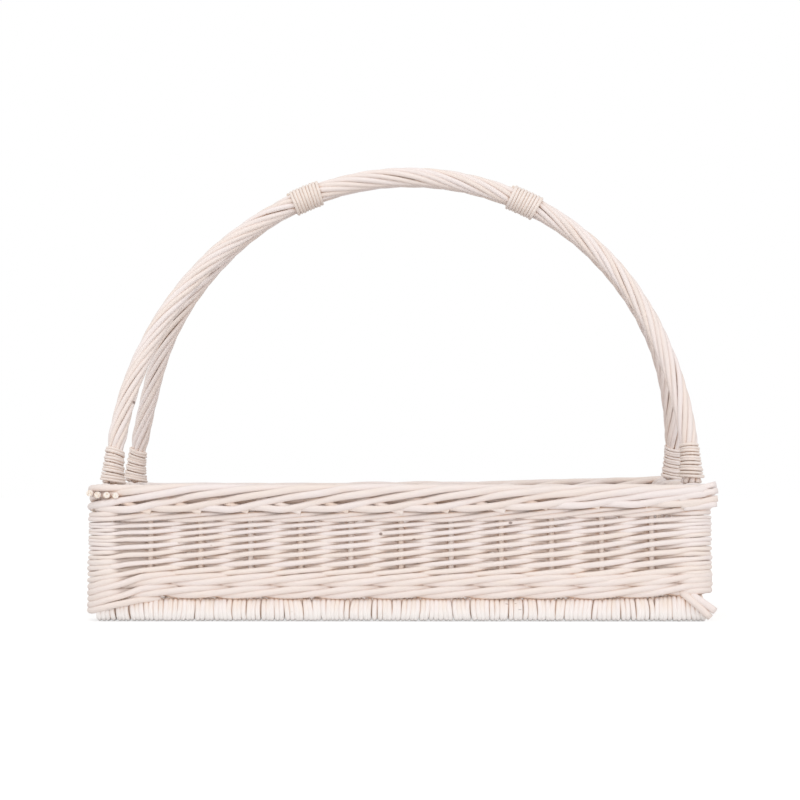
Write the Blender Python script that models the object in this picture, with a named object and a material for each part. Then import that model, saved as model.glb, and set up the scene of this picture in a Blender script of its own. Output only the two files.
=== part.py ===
# Serving basket of whitewashed willow.
# A shallow oblong tray basket on a stick base. Its wall is pairing between waling,
# turned over into a rolled border, and two twisted bows make one tall handle.
# Metres, +Z up. The long front wall faces -Y and the basket stands on z = 0.

import math

import bmesh
import bpy
import numpy as np
from mathutils import Vector

# Plan of the wall: stakes stand one pitch apart round an oblong.
STAKE_PITCH = 0.041
LONG_INTERVALS = 12
SHORT_INTERVALS = 8
STAKE_RADIUS = 0.002
STAKE_SIDES = 6
CORNER_STAKE_INSET = 0.0034

# Rods change sides half way between two stakes.
BETWEEN_STAKES_SHARE = 0.5

# Room left between rods that touch in the real basket.
ROD_GAP = 0.0003

# Base: thick edge sticks and thinner inner sticks, bound by weavers that run front to back.
BASE_EDGE_HEIGHT = 0.018
BASE_EDGE_WIDTH = 0.018
BASE_EDGE_CHAMFER = 0.0045
BASE_FLOOR_THICKNESS = 0.013
BASE_CROSSING_THICKNESS = 0.0038
BASE_RIDGE_WIDTH = 0.008
BASE_CORNER_OPENING = 0.024
EDGE_STICK_RADIUS = 0.005
EDGE_STICK_SHOW = 0.019
INNER_STICKS = 4
INNER_STICK_RADIUS = 0.0035
INNER_STICK_SPACING = 0.062
INNER_STICK_SHOW = 0.0026
STICK_SIDES = 6
STROKES = 26
STROKE_DEPTH = 0.0014

# Corner rods: one bent rod lashes each bottom corner.
CORNER_ROD_RADIUS = 0.0026
CORNER_ROD_SHORT_REACH = 0.047
CORNER_ROD_TOP_DROP = 0.0012
CORNER_ROD_TIP_HEIGHT = 0.0052
CORNER_ROD_STEPS = 4

# Waling: three rods worked together, in front of two stakes and behind one.
LOWER_WALE_ROWS = 2
LOWER_WALE_RADIUS = 0.00245
UPPER_WALE_RADIUS = 0.0019
THICK_ROD_SIDES = 4

# Pairing: two thin rods twisted round every stake, thinner towards the border.
PAIRING_ROWS = 7
PAIRING_RADIUS_LOWEST = 0.00165
PAIRING_RADIUS_HIGHEST = 0.00102
THIN_ROD_SIDES = 3

# Border: the turned-down stake tips, rolled round their own run. A strand takes as many
# intervals for one round of the roll as there are strands.
BORDER_RADIUS = 0.0027
BORDER_HALF_WIDTH = 0.0103
BORDER_HALF_HEIGHT = 0.0089
BORDER_STRANDS = 8
BORDER_RISE_SHARE = 0.3125
BORDER_TOP_SHARE = 0.25
BORDER_FALL_SHARE = 0.3125
BORDER_CORE_CHAMFER_SHARE = 0.35

# Bows: two half ellipses standing on the end walls, so many stakes from the middle, drawn
# together by two bindings.
BOW_STAKE_COUNT = 2
BOW_RISE = 0.270
BOW_LEFT_BINDING_X = 0.085
BOW_RIGHT_BINDING_X = 0.107
BOW_ROD_RADIUS = 0.0032
BOW_ROD_SIDES = 6
BOW_SLYPE_LENGTH = 0.012
BOW_LEAN_BLEND_SHARE = 0.14
BOW_RUN_TOGETHER = 0.026
ROPE_RADIUS = 0.0081
ROPE_GROOVE_DEPTH = 0.0019
ROPE_TURNS = 5
ROPE_STRAND_PAIRS = 4
ROPE_SEGMENTS = 30
BOW_SIDE_GAP = 0.0004
BOW_FINE_STEPS = 2000

# Cane bindings round the legs and round both bows.
CANE_RADIUS = 0.0011
CANE_SIDES = 3
LEG_BINDING_LENGTH = 0.0285
LEG_BINDING_TURNS = 10
LEG_TURN_POINTS = 8
GRIP_CANE_RADIUS = 0.00125
GRIP_BINDING_LENGTH = 0.0285
GRIP_BINDING_TURNS = 8
GRIP_ARC_STEPS = 4
CANE_ROOM = 0.0003

# Colours and roughness of the peeled, whitewashed willow.
WEAVER_COLOUR = (0.80, 0.74, 0.69)
WALE_COLOUR = (0.79, 0.72, 0.66)
STAKE_COLOUR = (0.62, 0.50, 0.41)
BORDER_COLOUR = (0.82, 0.76, 0.71)
BASE_COLOUR = (0.76, 0.68, 0.61)
STICK_COLOUR = (0.66, 0.55, 0.45)
HANDLE_COLOUR = (0.80, 0.73, 0.67)
CANE_COLOUR = (0.77, 0.70, 0.64)
WILLOW_ROUGHNESS = 0.72
CANE_ROUGHNESS = 0.62

# Sizes worked out from those above.
HALF_LENGTH = LONG_INTERVALS * STAKE_PITCH / 2
HALF_DEPTH = SHORT_INTERVALS * STAKE_PITCH / 2
ALL_INTERVALS = 2 * (LONG_INTERVALS + SHORT_INTERVALS)
CORNERS = (
    0,
    LONG_INTERVALS,
    LONG_INTERVALS + SHORT_INTERVALS,
    2 * LONG_INTERVALS + SHORT_INTERVALS,
)
WALE_OUT = STAKE_RADIUS + ROD_GAP + LOWER_WALE_RADIUS
WALL_OUTER_Y = HALF_DEPTH + WALE_OUT + LOWER_WALE_RADIUS
EDGE_STICK_Y = WALL_OUTER_Y - BASE_EDGE_WIDTH / 2
EDGE_INNER_Y = WALL_OUTER_Y - BASE_EDGE_WIDTH
CORNER_ROD_OUT = EDGE_STICK_Y + EDGE_STICK_RADIUS + ROD_GAP + CORNER_ROD_RADIUS - HALF_DEPTH
FLOOR_END_X = HALF_LENGTH + CORNER_ROD_OUT - CORNER_ROD_RADIUS - ROD_GAP
EDGE_END_X = HALF_LENGTH - BASE_CORNER_OPENING
FLOOR_TOP = (BASE_EDGE_HEIGHT + BASE_FLOOR_THICKNESS) / 2
FLOOR_BOTTOM = (BASE_EDGE_HEIGHT - BASE_FLOOR_THICKNESS) / 2


def clear_scene():
    for item in list(bpy.data.objects):
        bpy.data.objects.remove(item, do_unlink=True)


def make_material(name, colour, roughness):
    material = bpy.data.materials.new(name)
    material.use_nodes = True
    shader = material.node_tree.nodes["Principled BSDF"]
    shader.inputs["Base Color"].default_value = (*colour, 1)
    shader.inputs["Roughness"].default_value = roughness
    shader.inputs["Metallic"].default_value = 0
    return material


def make_object(name, mesh_source, material=None):
    bmesh.ops.recalc_face_normals(mesh_source, faces=mesh_source.faces)
    mesh = bpy.data.meshes.new(name)
    mesh_source.to_mesh(mesh)
    mesh_source.free()
    mesh.shade_smooth()
    mesh.set_sharp_from_angle(angle=math.radians(100))
    made = bpy.data.objects.new(name, mesh)
    bpy.context.scene.collection.objects.link(made)
    if material:
        mesh.materials.append(material)
    return made


def use_as_tool(target, tool, operation):
    # Joins the tool to the target or cuts it away, and keeps the tool as a guide.
    tool.hide_render = True
    tool.display_type = "WIRE"
    boolean = target.modifiers.new(tool.name, "BOOLEAN")
    boolean.operation = operation
    boolean.solver = "EXACT"
    boolean.object = tool


def loft(rings, closed):
    # A skin over rings of points, joined end to start or capped at both ends. Each panel is
    # split along its shorter diagonal, so that a twisted rod keeps its thickness.
    shape = bmesh.new()
    rows = [[shape.verts.new(point) for point in ring] for ring in rings]
    count = len(rows[0])
    following = rows[1:] + rows[:1] if closed else rows[1:]
    panels = []
    for row, after in zip(rows, following):
        for k in range(count):
            beside = (k + 1) % count
            panels.append(shape.faces.new((row[k], row[beside], after[beside], after[k])))
    bmesh.ops.triangulate(shape, faces=panels, quad_method="SHORT_EDGE")
    if not closed:
        shape.faces.new(rows[0])
        shape.faces.new(rows[-1])
    return shape


def rod_section(radius, sides):
    # Corners (out, up) of a faceted rod of this half height, with one edge facing out.
    turns = [2 * math.pi * k / sides for k in range(sides)]
    corner = radius / max(math.sin(turn) for turn in turns)
    return [(corner * math.cos(turn), corner * math.sin(turn)) for turn in turns]


def reach_in(section):
    return -min(out for out, up in section)


def reach_out(section):
    return max(out for out, up in section)


def wall_point(interval, out, height):
    # A point at this many stake intervals round the wall from the front left corner,
    # this far outside the line of the stakes.
    place = interval % ALL_INTERVALS
    if place < CORNERS[1]:
        x, y = place * STAKE_PITCH - HALF_LENGTH, -HALF_DEPTH
        outward = Vector((0, -1, 0))
    elif place < CORNERS[2]:
        x, y = HALF_LENGTH, (place - CORNERS[1]) * STAKE_PITCH - HALF_DEPTH
        outward = Vector((1, 0, 0))
    elif place < CORNERS[3]:
        x, y = HALF_LENGTH - (place - CORNERS[2]) * STAKE_PITCH, HALF_DEPTH
        outward = Vector((0, 1, 0))
    else:
        x, y = -HALF_LENGTH, HALF_DEPTH - (place - CORNERS[3]) * STAKE_PITCH
        outward = Vector((-1, 0, 0))
    if place in CORNERS:
        outward = Vector((math.copysign(1, x), math.copysign(1, y), 0))
    return Vector((x, y, height)) + outward * out


def stake_point(interval):
    # A stake's place in the plan. The corner stakes stand a little inside the corner.
    return wall_point(interval, -CORNER_STAKE_INSET if interval in CORNERS else 0, 0)


def with_corners(stations):
    # Adds a station at each corner that the rod passes between two of its own.
    full = []
    for station, after in zip(stations, stations[1:] + stations[:1]):
        start, end = station[0], after[0]
        if end <= start:
            end = start + (end - start) % ALL_INTERVALS
        full.append(station)
        for lap in range(int(start // ALL_INTERVALS), int(end // ALL_INTERVALS) + 1):
            for corner in CORNERS:
                place = lap * ALL_INTERVALS + corner
                if start < place < end:
                    share = (place - start) / (end - start)
                    full.append((
                        place,
                        station[1] + share * (after[1] - station[1]),
                        station[2] + share * (after[2] - station[2]),
                    ))
    return full


def woven_rod(name, stations, section, material, closed=True, corner_inset=0):
    # Sweeps the section past stations (interval, out, height) round the wall. A rod that
    # passes behind a corner stake lies further in there, as the stake does.
    rings = []
    for interval, out, height in with_corners(stations) if closed else stations:
        inset = corner_inset if out < 0 and interval % ALL_INTERVALS in CORNERS else 0
        rings.append([wall_point(interval, out - inset + side, height + up) for side, up in section])
    return make_object(name, loft(rings, closed), material)


def make_wale(name, middle, section, material):
    # In front of two stakes and behind the third. The number of stakes leaves one over
    # from threes, so each rod runs on into the next and three rounds make one endless rod.
    step = max(up for out, up in section) + ROD_GAP / 2
    front = STAKE_RADIUS + ROD_GAP + reach_in(section)
    back = -(STAKE_RADIUS + ROD_GAP + reach_out(section))
    stations = []
    for start in range(0, 3 * ALL_INTERVALS, 3):
        stations += [
            (start, front, middle - step),
            (start + 1, front, middle + step),
            (start + 1 + BETWEEN_STAKES_SHARE, back, middle + step),
            (start + 2 + BETWEEN_STAKES_SHARE, back, middle - step),
        ]
    return woven_rod(name, stations, section, material, corner_inset=CORNER_STAKE_INSET)


def make_pair(row, middle, section, material):
    # Two rods that change sides between stakes, so that each stake has one in front.
    step = max(up for out, up in section) + ROD_GAP / 2
    front = STAKE_RADIUS + ROD_GAP + reach_in(section)
    back = -(STAKE_RADIUS + ROD_GAP + reach_out(section))
    for first, letter in ((0, "a"), (1, "b")):
        stations = []
        for start in range(first, first + ALL_INTERVALS, 2):
            stations += [
                (start, front, middle),
                (start + BETWEEN_STAKES_SHARE, back, middle + step),
                (start + 1 + BETWEEN_STAKES_SHARE, back, middle - step),
            ]
        name = f"pairing_row_{row}_rod_{letter}"
        woven_rod(name, stations, section, material, corner_inset=CORNER_STAKE_INSET)


def row_height(section):
    # Two rods lie one above the other between stakes.
    return 4 * max(up for out, up in section) + ROD_GAP


def weave_wall(weaver_willow, wale_willow):
    # Works the rows upwards and returns the height that they reach.
    top = BASE_EDGE_HEIGHT + ROD_GAP
    lower = rod_section(LOWER_WALE_RADIUS, THICK_ROD_SIDES)
    for row in range(LOWER_WALE_ROWS):
        make_wale(f"lower_wale_{row + 1}", top + row_height(lower) / 2, lower, wale_willow)
        top += row_height(lower) + ROD_GAP
    for row in range(PAIRING_ROWS):
        share = row / (PAIRING_ROWS - 1)
        radius = PAIRING_RADIUS_LOWEST + share * (PAIRING_RADIUS_HIGHEST - PAIRING_RADIUS_LOWEST)
        section = rod_section(radius, THIN_ROD_SIDES)
        make_pair(row + 1, top + row_height(section) / 2, section, weaver_willow)
        top += row_height(section) + ROD_GAP
    upper = rod_section(UPPER_WALE_RADIUS, THIN_ROD_SIDES)
    make_wale("upper_wale", top + row_height(upper) / 2, upper, wale_willow)
    return top + row_height(upper) + ROD_GAP


def make_border(middle, border_willow):
    # Each strand climbs the outside, rolls over the run, falls inside and comes back
    # under it between two stakes.
    section = rod_section(BORDER_RADIUS, THICK_ROD_SIDES)
    wide, high = BORDER_HALF_WIDTH, BORDER_HALF_HEIGHT
    over = BORDER_RISE_SHARE * BORDER_STRANDS
    inside = over + BORDER_TOP_SHARE * BORDER_STRANDS
    under = inside + BORDER_FALL_SHARE * BORDER_STRANDS
    for strand in range(BORDER_STRANDS):
        stations = []
        for start in range(strand, strand + ALL_INTERVALS, BORDER_STRANDS):
            stations += [
                (start, wide, middle - high),
                (start + over, wide, middle + high),
                (start + inside, -wide, middle + high),
                (start + under, -wide, middle - high),
            ]
        woven_rod(f"border_strand_{strand + 1}", stations, section, border_willow)


def core_section():
    # The run of turned-down tips inside the border: a block with its edges taken off.
    wide = BORDER_HALF_WIDTH - BORDER_RADIUS - ROD_GAP
    high = BORDER_HALF_HEIGHT - BORDER_RADIUS - ROD_GAP
    cut = high * BORDER_CORE_CHAMFER_SHARE
    return [
        (wide, high - cut), (wide - cut, high), (cut - wide, high), (-wide, high - cut),
        (-wide, cut - high), (cut - wide, -high), (wide - cut, -high), (wide, cut - high),
    ]


def rod_ring(centre, radius, sides, across, along):
    # A ring of corners in the plane of two directions, the first corner along the first.
    return [
        centre
        + across * (radius * math.cos(2 * math.pi * k / sides))
        + along * (radius * math.sin(2 * math.pi * k / sides))
        for k in range(sides)
    ]


def upright_rods(name, feet, top, radius):
    # Upright rods from these feet to one height, as one tool.
    shape = bmesh.new()
    for foot in feet:
        low = rod_ring(foot, radius, STAKE_SIDES, Vector((1, 0, 0)), Vector((0, 1, 0)))
        high = [point + Vector((0, 0, top - foot.z)) for point in low]
        rows = [[shape.verts.new(point) for point in ring] for ring in (low, high)]
        for k in range(STAKE_SIDES):
            after = (k + 1) % STAKE_SIDES
            shape.faces.new((rows[0][k], rows[0][after], rows[1][after], rows[1][k]))
        shape.faces.new(rows[0])
        shape.faces.new(rows[1])
    return make_object(name, shape)


def inner_stick_ys():
    return [(stick - (INNER_STICKS - 1) / 2) * INNER_STICK_SPACING for stick in range(INNER_STICKS)]


def floor_profile():
    # (y, half thickness) of the floor from front to back: a flat ridge over each inner stick,
    # where weavers pass above and below it, and a hollow half way to the next, where they cross.
    ridge = BASE_FLOOR_THICKNESS / 2
    hollow = BASE_CROSSING_THICKNESS / 2
    edge = EDGE_INNER_Y + FLOOR_BOTTOM
    profile = [(-edge, ridge), (-EDGE_INNER_Y, ridge)]
    before = -EDGE_INNER_Y
    for y in inner_stick_ys():
        profile += [
            ((before + y) / 2, hollow),
            (y - BASE_RIDGE_WIDTH / 2, ridge),
            (y + BASE_RIDGE_WIDTH / 2, ridge),
        ]
        before = y
    profile += [((before + EDGE_INNER_Y) / 2, hollow), (EDGE_INNER_Y, ridge), (edge, ridge)]
    return profile


def foot_on_floor(y):
    # The height at which a stake's foot meets the ridged floor.
    ys, halves = zip(*floor_profile())
    half = max(np.interp([y - STAKE_RADIUS, y, y + STAKE_RADIUS], ys, halves))
    return BASE_EDGE_HEIGHT / 2 + half + ROD_GAP


def make_stakes(name, intervals, bow_intervals, on_floor, border_middle, start, end, stake_willow):
    # One wall's stakes with the run that their tips make, from start to end of that run.
    direction = (end - start).normalized()
    outward = Vector((direction.y, -direction.x, 0))
    rings = [
        [place + outward * out + Vector((0, 0, border_middle + up)) for out, up in core_section()]
        for place in (start, end)
    ]
    stakes = make_object(name, loft(rings, False), stake_willow)
    feet = [stake_point(interval) for interval in intervals]
    for foot in feet:
        foot.z = foot_on_floor(foot.y) if on_floor else BASE_EDGE_HEIGHT + ROD_GAP
    rods = upright_rods(f"{name}_rods", feet, border_middle, STAKE_RADIUS)
    use_as_tool(stakes, rods, "UNION")
    if bow_intervals:
        feet = [stake_point(interval) for interval in bow_intervals]
        for foot in feet:
            foot.z = border_middle - BORDER_HALF_HEIGHT
        top = border_middle + BORDER_HALF_HEIGHT
        bores = upright_rods(f"{name}_bores", feet, top, STAKE_RADIUS + ROD_GAP)
        use_as_tool(stakes, bores, "DIFFERENCE")
    return stakes


def make_all_stakes(border_middle, stake_willow):
    wide = BORDER_HALF_WIDTH - BORDER_RADIUS - ROD_GAP
    long_end = HALF_LENGTH + wide
    short_end = HALF_DEPTH - wide - ROD_GAP
    middle = SHORT_INTERVALS // 2
    bows = (middle - BOW_STAKE_COUNT, middle + BOW_STAKE_COUNT)
    short = [step for step in range(1, SHORT_INTERVALS) if step not in bows]
    make_stakes(
        "stakes_front", range(CORNERS[0], CORNERS[1] + 1), (), False, border_middle,
        Vector((-long_end, -HALF_DEPTH, 0)), Vector((long_end, -HALF_DEPTH, 0)), stake_willow,
    )
    make_stakes(
        "stakes_right", [CORNERS[1] + step for step in short], [CORNERS[1] + step for step in bows],
        True, border_middle,
        Vector((HALF_LENGTH, -short_end, 0)), Vector((HALF_LENGTH, short_end, 0)), stake_willow,
    )
    make_stakes(
        "stakes_back", range(CORNERS[2], CORNERS[3] + 1), (), False, border_middle,
        Vector((long_end, HALF_DEPTH, 0)), Vector((-long_end, HALF_DEPTH, 0)), stake_willow,
    )
    make_stakes(
        "stakes_left", [CORNERS[3] + step for step in short], [CORNERS[3] + step for step in bows],
        True, border_middle,
        Vector((-HALF_LENGTH, short_end, 0)), Vector((-HALF_LENGTH, -short_end, 0)), stake_willow,
    )


def ribbed_edge(name, side):
    # The weavers' strokes round one edge stick: a bar whose outer face is ribbed upright.
    shape = bmesh.new()
    cut = BASE_EDGE_CHAMFER
    stations = 2 * STROKES + 1
    rows = []
    for k in range(stations):
        x = -EDGE_END_X + 2 * EDGE_END_X * k / (stations - 1)
        face = WALL_OUTER_Y - (0 if k % 2 else STROKE_DEPTH)
        rows.append([
            shape.verts.new((x, side * (face - cut), 0)),
            shape.verts.new((x, side * face, cut)),
            shape.verts.new((x, side * face, BASE_EDGE_HEIGHT - cut)),
            shape.verts.new((x, side * (face - cut), BASE_EDGE_HEIGHT)),
        ])
    inner = [
        [
            shape.verts.new((x, side * (EDGE_INNER_Y + FLOOR_BOTTOM), 0)),
            shape.verts.new((x, side * EDGE_INNER_Y, FLOOR_BOTTOM)),
            shape.verts.new((x, side * EDGE_INNER_Y, FLOOR_TOP)),
            shape.verts.new((x, side * (EDGE_INNER_Y + FLOOR_BOTTOM), BASE_EDGE_HEIGHT)),
        ]
        for x in (-EDGE_END_X, EDGE_END_X)
    ]
    for row, after in zip(rows, rows[1:]):
        for k in range(3):
            shape.faces.new((row[k], row[k + 1], after[k + 1], after[k]))
    for k in range(3):
        shape.faces.new((inner[0][k], inner[1][k], inner[1][k + 1], inner[0][k + 1]))
    shape.faces.new([row[3] for row in rows] + [inner[1][3], inner[0][3]])
    shape.faces.new([row[0] for row in rows] + [inner[1][0], inner[0][0]])
    shape.faces.new(rows[0] + inner[0][::-1])
    shape.faces.new(rows[-1] + inner[1][::-1])
    return make_object(name, shape)


def stick_rings(y, radius, end):
    return [
        rod_ring(
            Vector((x, y, BASE_EDGE_HEIGHT / 2)), radius, STICK_SIDES, Vector((0, 1, 0)), Vector((0, 0, 1))
        )
        for x in (-end, end)
    ]


def make_floor(base_willow):
    # The woven floor between the edge sticks, ridged along the inner sticks.
    middle = BASE_EDGE_HEIGHT / 2
    profile = floor_profile()
    outline = [(y, middle + half) for y, half in profile]
    outline += [(y, middle - half) for y, half in profile[::-1]]
    rings = [[Vector((x, y, z)) for y, z in outline] for x in (-FLOOR_END_X, FLOOR_END_X)]
    return make_object("base_weave", loft(rings, False), base_willow)


def make_stick(weave, name, y, radius, end, stick_willow):
    # One stick, and the room that the weavers leave for it.
    room = make_object(f"{name}_room", loft(stick_rings(y, radius + ROD_GAP, end), False))
    use_as_tool(weave, room, "DIFFERENCE")
    make_object(name, loft(stick_rings(y, radius, end), False), stick_willow)


def make_base(base_willow, stick_willow):
    # The floor with a ribbed bar at the front and back, and the sticks lying in them.
    weave = make_floor(base_willow)
    for side, word in ((-1, "front"), (1, "back")):
        use_as_tool(weave, ribbed_edge(f"base_{word}_strokes", side), "UNION")
        end = EDGE_END_X + EDGE_STICK_SHOW
        make_stick(
            weave, f"base_{word}_edge_stick", side * EDGE_STICK_Y, EDGE_STICK_RADIUS, end, stick_willow
        )
    for number, y in enumerate(inner_stick_ys()):
        end = FLOOR_END_X + INNER_STICK_SHOW
        make_stick(weave, f"base_inner_stick_{number + 1}", y, INNER_STICK_RADIUS, end, stick_willow)


def make_corner_rods(wale_willow):
    # Each rod starts high on the long side, sweeps down to the corner and ends on the short side.
    section = rod_section(CORNER_ROD_RADIUS, THICK_ROD_SIDES)
    start_height = BASE_EDGE_HEIGHT - CORNER_ROD_RADIUS - CORNER_ROD_TOP_DROP
    end_height = BASE_EDGE_HEIGHT / 2
    names = ("front_left", "front_right", "back_right", "back_left")
    for corner, name, long_way in zip(CORNERS, names, (1, -1, 1, -1)):
        stations = []
        for step in range(CORNER_ROD_STEPS):
            share = step / CORNER_ROD_STEPS
            reach = (1 - share) * (BASE_CORNER_OPENING - ROD_GAP) / STAKE_PITCH
            height = start_height + share * (CORNER_ROD_TIP_HEIGHT - start_height)
            stations.append((corner + long_way * reach, CORNER_ROD_OUT, height))
        for step in range(CORNER_ROD_STEPS + 1):
            share = step / CORNER_ROD_STEPS
            reach = share * CORNER_ROD_SHORT_REACH / STAKE_PITCH
            height = CORNER_ROD_TIP_HEIGHT + share * (end_height - CORNER_ROD_TIP_HEIGHT)
            stations.append((corner - long_way * reach, CORNER_ROD_OUT, height))
        woven_rod(f"corner_rod_{name}", stations, section, wale_willow, closed=False)


def lean(share):
    # Falls from 1 at the border to 0 where the bows meet, level at both ends.
    blend = BOW_LEAN_BLEND_SHARE
    straight = 1 - blend
    if share < blend:
        return 1 - share * share / (2 * blend * straight)
    if share < straight:
        return 1 - (share - blend / 2) / straight
    if share < 1:
        return (1 - share) * (1 - share) / (2 * blend * straight)
    return 0


def bow_point(angle, side, foot):
    # A point on a bow's centre line, from the left end wall (0) over to the right (pi).
    # Side is -1 for the front bow, 1 for the back one and 0 for the line between them.
    left_angle = math.acos((BOW_LEFT_BINDING_X + BOW_RUN_TOGETHER) / HALF_LENGTH)
    right_angle = math.acos((BOW_RIGHT_BINDING_X + BOW_RUN_TOGETHER) / HALF_LENGTH)
    share = angle / left_angle if angle < math.pi / 2 else (math.pi - angle) / right_angle
    together = ROPE_RADIUS + BOW_SIDE_GAP / 2
    apart = BOW_STAKE_COUNT * STAKE_PITCH
    y = side * (together + (apart - together) * lean(share))
    return Vector((-HALF_LENGTH * math.cos(angle), y, foot + BOW_RISE * math.sin(angle)))


def bow_line(side, foot):
    # Angles over a finely divided bow, and the length along it that each has reached.
    angles = np.linspace(0, math.pi, BOW_FINE_STEPS + 1)
    points = np.array([bow_point(angle, side, foot) for angle in angles])
    lengths = np.concatenate([[0], np.cumsum(np.linalg.norm(np.diff(points, axis=0), axis=1))])
    return angles, lengths


def bow_frame(angle, side, foot):
    # The point with the directions along the bow, out of the arch and across it.
    step = math.pi / BOW_FINE_STEPS
    before = bow_point(max(angle - step, 0), side, foot)
    after = bow_point(min(angle + step, math.pi), side, foot)
    along = (after - before).normalized()
    if angle < step or angle > math.pi - step:
        along = Vector((0, 0, math.copysign(1, along.z)))
    outward = along.cross(Vector((0, 1, 0))).normalized()
    return bow_point(angle, side, foot), along, outward, outward.cross(along)


def strand_pair_section():
    # Two strands side by side, a quarter of the rope between them, as (radius, turn) corners.
    # The inner corner lies so far out that its chords from ring to ring clear the rod inside.
    half = math.pi / ROPE_STRAND_PAIRS
    groove = ROPE_RADIUS - ROPE_GROOVE_DEPTH
    edge = half - ROD_GAP / 2 / groove
    inner = (BOW_ROD_RADIUS + ROD_GAP) / math.cos(math.pi * ROPE_TURNS / ROPE_SEGMENTS)
    return [
        (groove, -edge), (ROPE_RADIUS, -half / 2), (groove, 0),
        (ROPE_RADIUS, half / 2), (groove, edge), (inner, 0),
    ]


def make_bow(word, side, foot, handle_willow, rod_willow):
    angles, lengths = bow_line(side, foot)
    whole = lengths[-1]
    frames = []
    for k in range(ROPE_SEGMENTS + 1):
        angle = np.interp(whole * k / ROPE_SEGMENTS, lengths, angles)
        frames.append(bow_frame(angle, side, foot))
    section = strand_pair_section()
    for pair in range(ROPE_STRAND_PAIRS):
        rings = []
        for k, (centre, _, outward, across) in enumerate(frames):
            twist = 2 * math.pi * (pair / ROPE_STRAND_PAIRS - ROPE_TURNS * k / ROPE_SEGMENTS)
            rings.append([
                centre + (outward * math.cos(twist + turn) + across * math.sin(twist + turn)) * radius
                for radius, turn in section
            ])
        make_object(f"bow_{word}_strands_{pair + 1}", loft(rings, False), handle_willow)
    make_bow_rod(word, foot, whole / ROPE_SEGMENTS, frames, rod_willow)


def make_bow_rod(word, foot, segment_length, frames, rod_willow):
    # The rod inside the rope, thinned to a stake where it stands in the end walls.
    share = BOW_SLYPE_LENGTH / segment_length
    rings = []
    for k, (centre, _, outward, across) in enumerate(frames):
        radius = STAKE_RADIUS if k in (0, len(frames) - 1) else BOW_ROD_RADIUS
        rings.append(rod_ring(centre, radius, BOW_ROD_SIDES, outward, across))
    for end, inner, place in ((0, 1, 1), (-1, -2, len(rings))):
        centre, _, outward, across = frames[end]
        shoulder = centre.lerp(frames[inner][0], share)
        rings.insert(place, rod_ring(shoulder, BOW_ROD_RADIUS, BOW_ROD_SIDES, outward, across))
    drop = Vector((0, 0, foot - foot_on_floor(frames[0][0].y)))
    rings.insert(0, [point - drop for point in rings[0]])
    rings.append([point - drop for point in rings[-1]])
    make_object(f"bow_{word}_rod", loft(rings, False), rod_willow)


def least_gap(points, turn_points, thickness):
    # The least distance between points over half a turn apart, less the tube's thickness.
    line = np.array(points)
    apart = np.linalg.norm(line[:, None] - line[None], axis=2)
    order = np.arange(len(line))
    near = np.abs(order[:, None] - order[None]) <= turn_points // 2
    apart[near] = np.inf
    return apart.min() - thickness


def make_binding(name, outline, frame_at, start, length, turns, radius, cane):
    # One unbroken tube wound round an outline of (out, across) points, turn after turn.
    section = rod_section(radius, CANE_SIDES)
    count = len(outline)
    points = []
    outs = []
    alongs = []
    for k in range(turns * count + 1):
        centre, along, outward, across = frame_at(start + length * k / (turns * count))
        out, side = outline[k % count]
        before, after = outline[k % count - 1], outline[(k + 1) % count]
        facing = Vector((after[1] - before[1], before[0] - after[0])).normalized()
        points.append(centre + outward * out + across * side)
        outs.append(outward * facing.x + across * facing.y)
        alongs.append(along)
    # Each end runs on straight for one thickness of the cane.
    for end, inner in ((0, 1), (-1, -2)):
        tail = (points[end] - points[inner]).normalized() * (2 * radius)
        place = 0 if end == 0 else len(points)
        points.insert(place, points[end] + tail)
        outs.insert(place, outs[end])
        alongs.insert(place, alongs[end])
    rings = [
        [point + out * reach + along * up for reach, up in section]
        for point, out, along in zip(points, outs, alongs)
    ]
    gap = least_gap(points, count, 2 * radius)
    print(f"{name}: {turns} turns, least gap to itself {gap * 1000:.2f} mm")
    make_object(name, loft(rings, False), cane)


def leg_outline():
    # Corners of one turn round a leg, far enough out that its flats clear the rope.
    section = rod_section(CANE_RADIUS, CANE_SIDES)
    clear = ROPE_RADIUS + CANE_ROOM + reach_in(section)
    corner = clear / math.cos(math.pi / LEG_TURN_POINTS)
    turns = [2 * math.pi * k / LEG_TURN_POINTS for k in range(LEG_TURN_POINTS)]
    return [(corner * math.cos(turn), corner * math.sin(turn)) for turn in turns]


def grip_outline():
    # One turn round both bows side by side: a half circle over each, joined by straights.
    section = rod_section(GRIP_CANE_RADIUS, CANE_SIDES)
    clear = ROPE_RADIUS + CANE_ROOM + reach_in(section)
    corner = clear / math.cos(math.pi / 2 / GRIP_ARC_STEPS)
    middle = ROPE_RADIUS + BOW_SIDE_GAP / 2
    outline = []
    for side, first in ((1, 0), (-1, math.pi)):
        for step in range(GRIP_ARC_STEPS + 1):
            turn = first + math.pi * step / GRIP_ARC_STEPS
            outline.append((corner * math.cos(turn), side * middle + corner * math.sin(turn)))
    return outline


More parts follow.
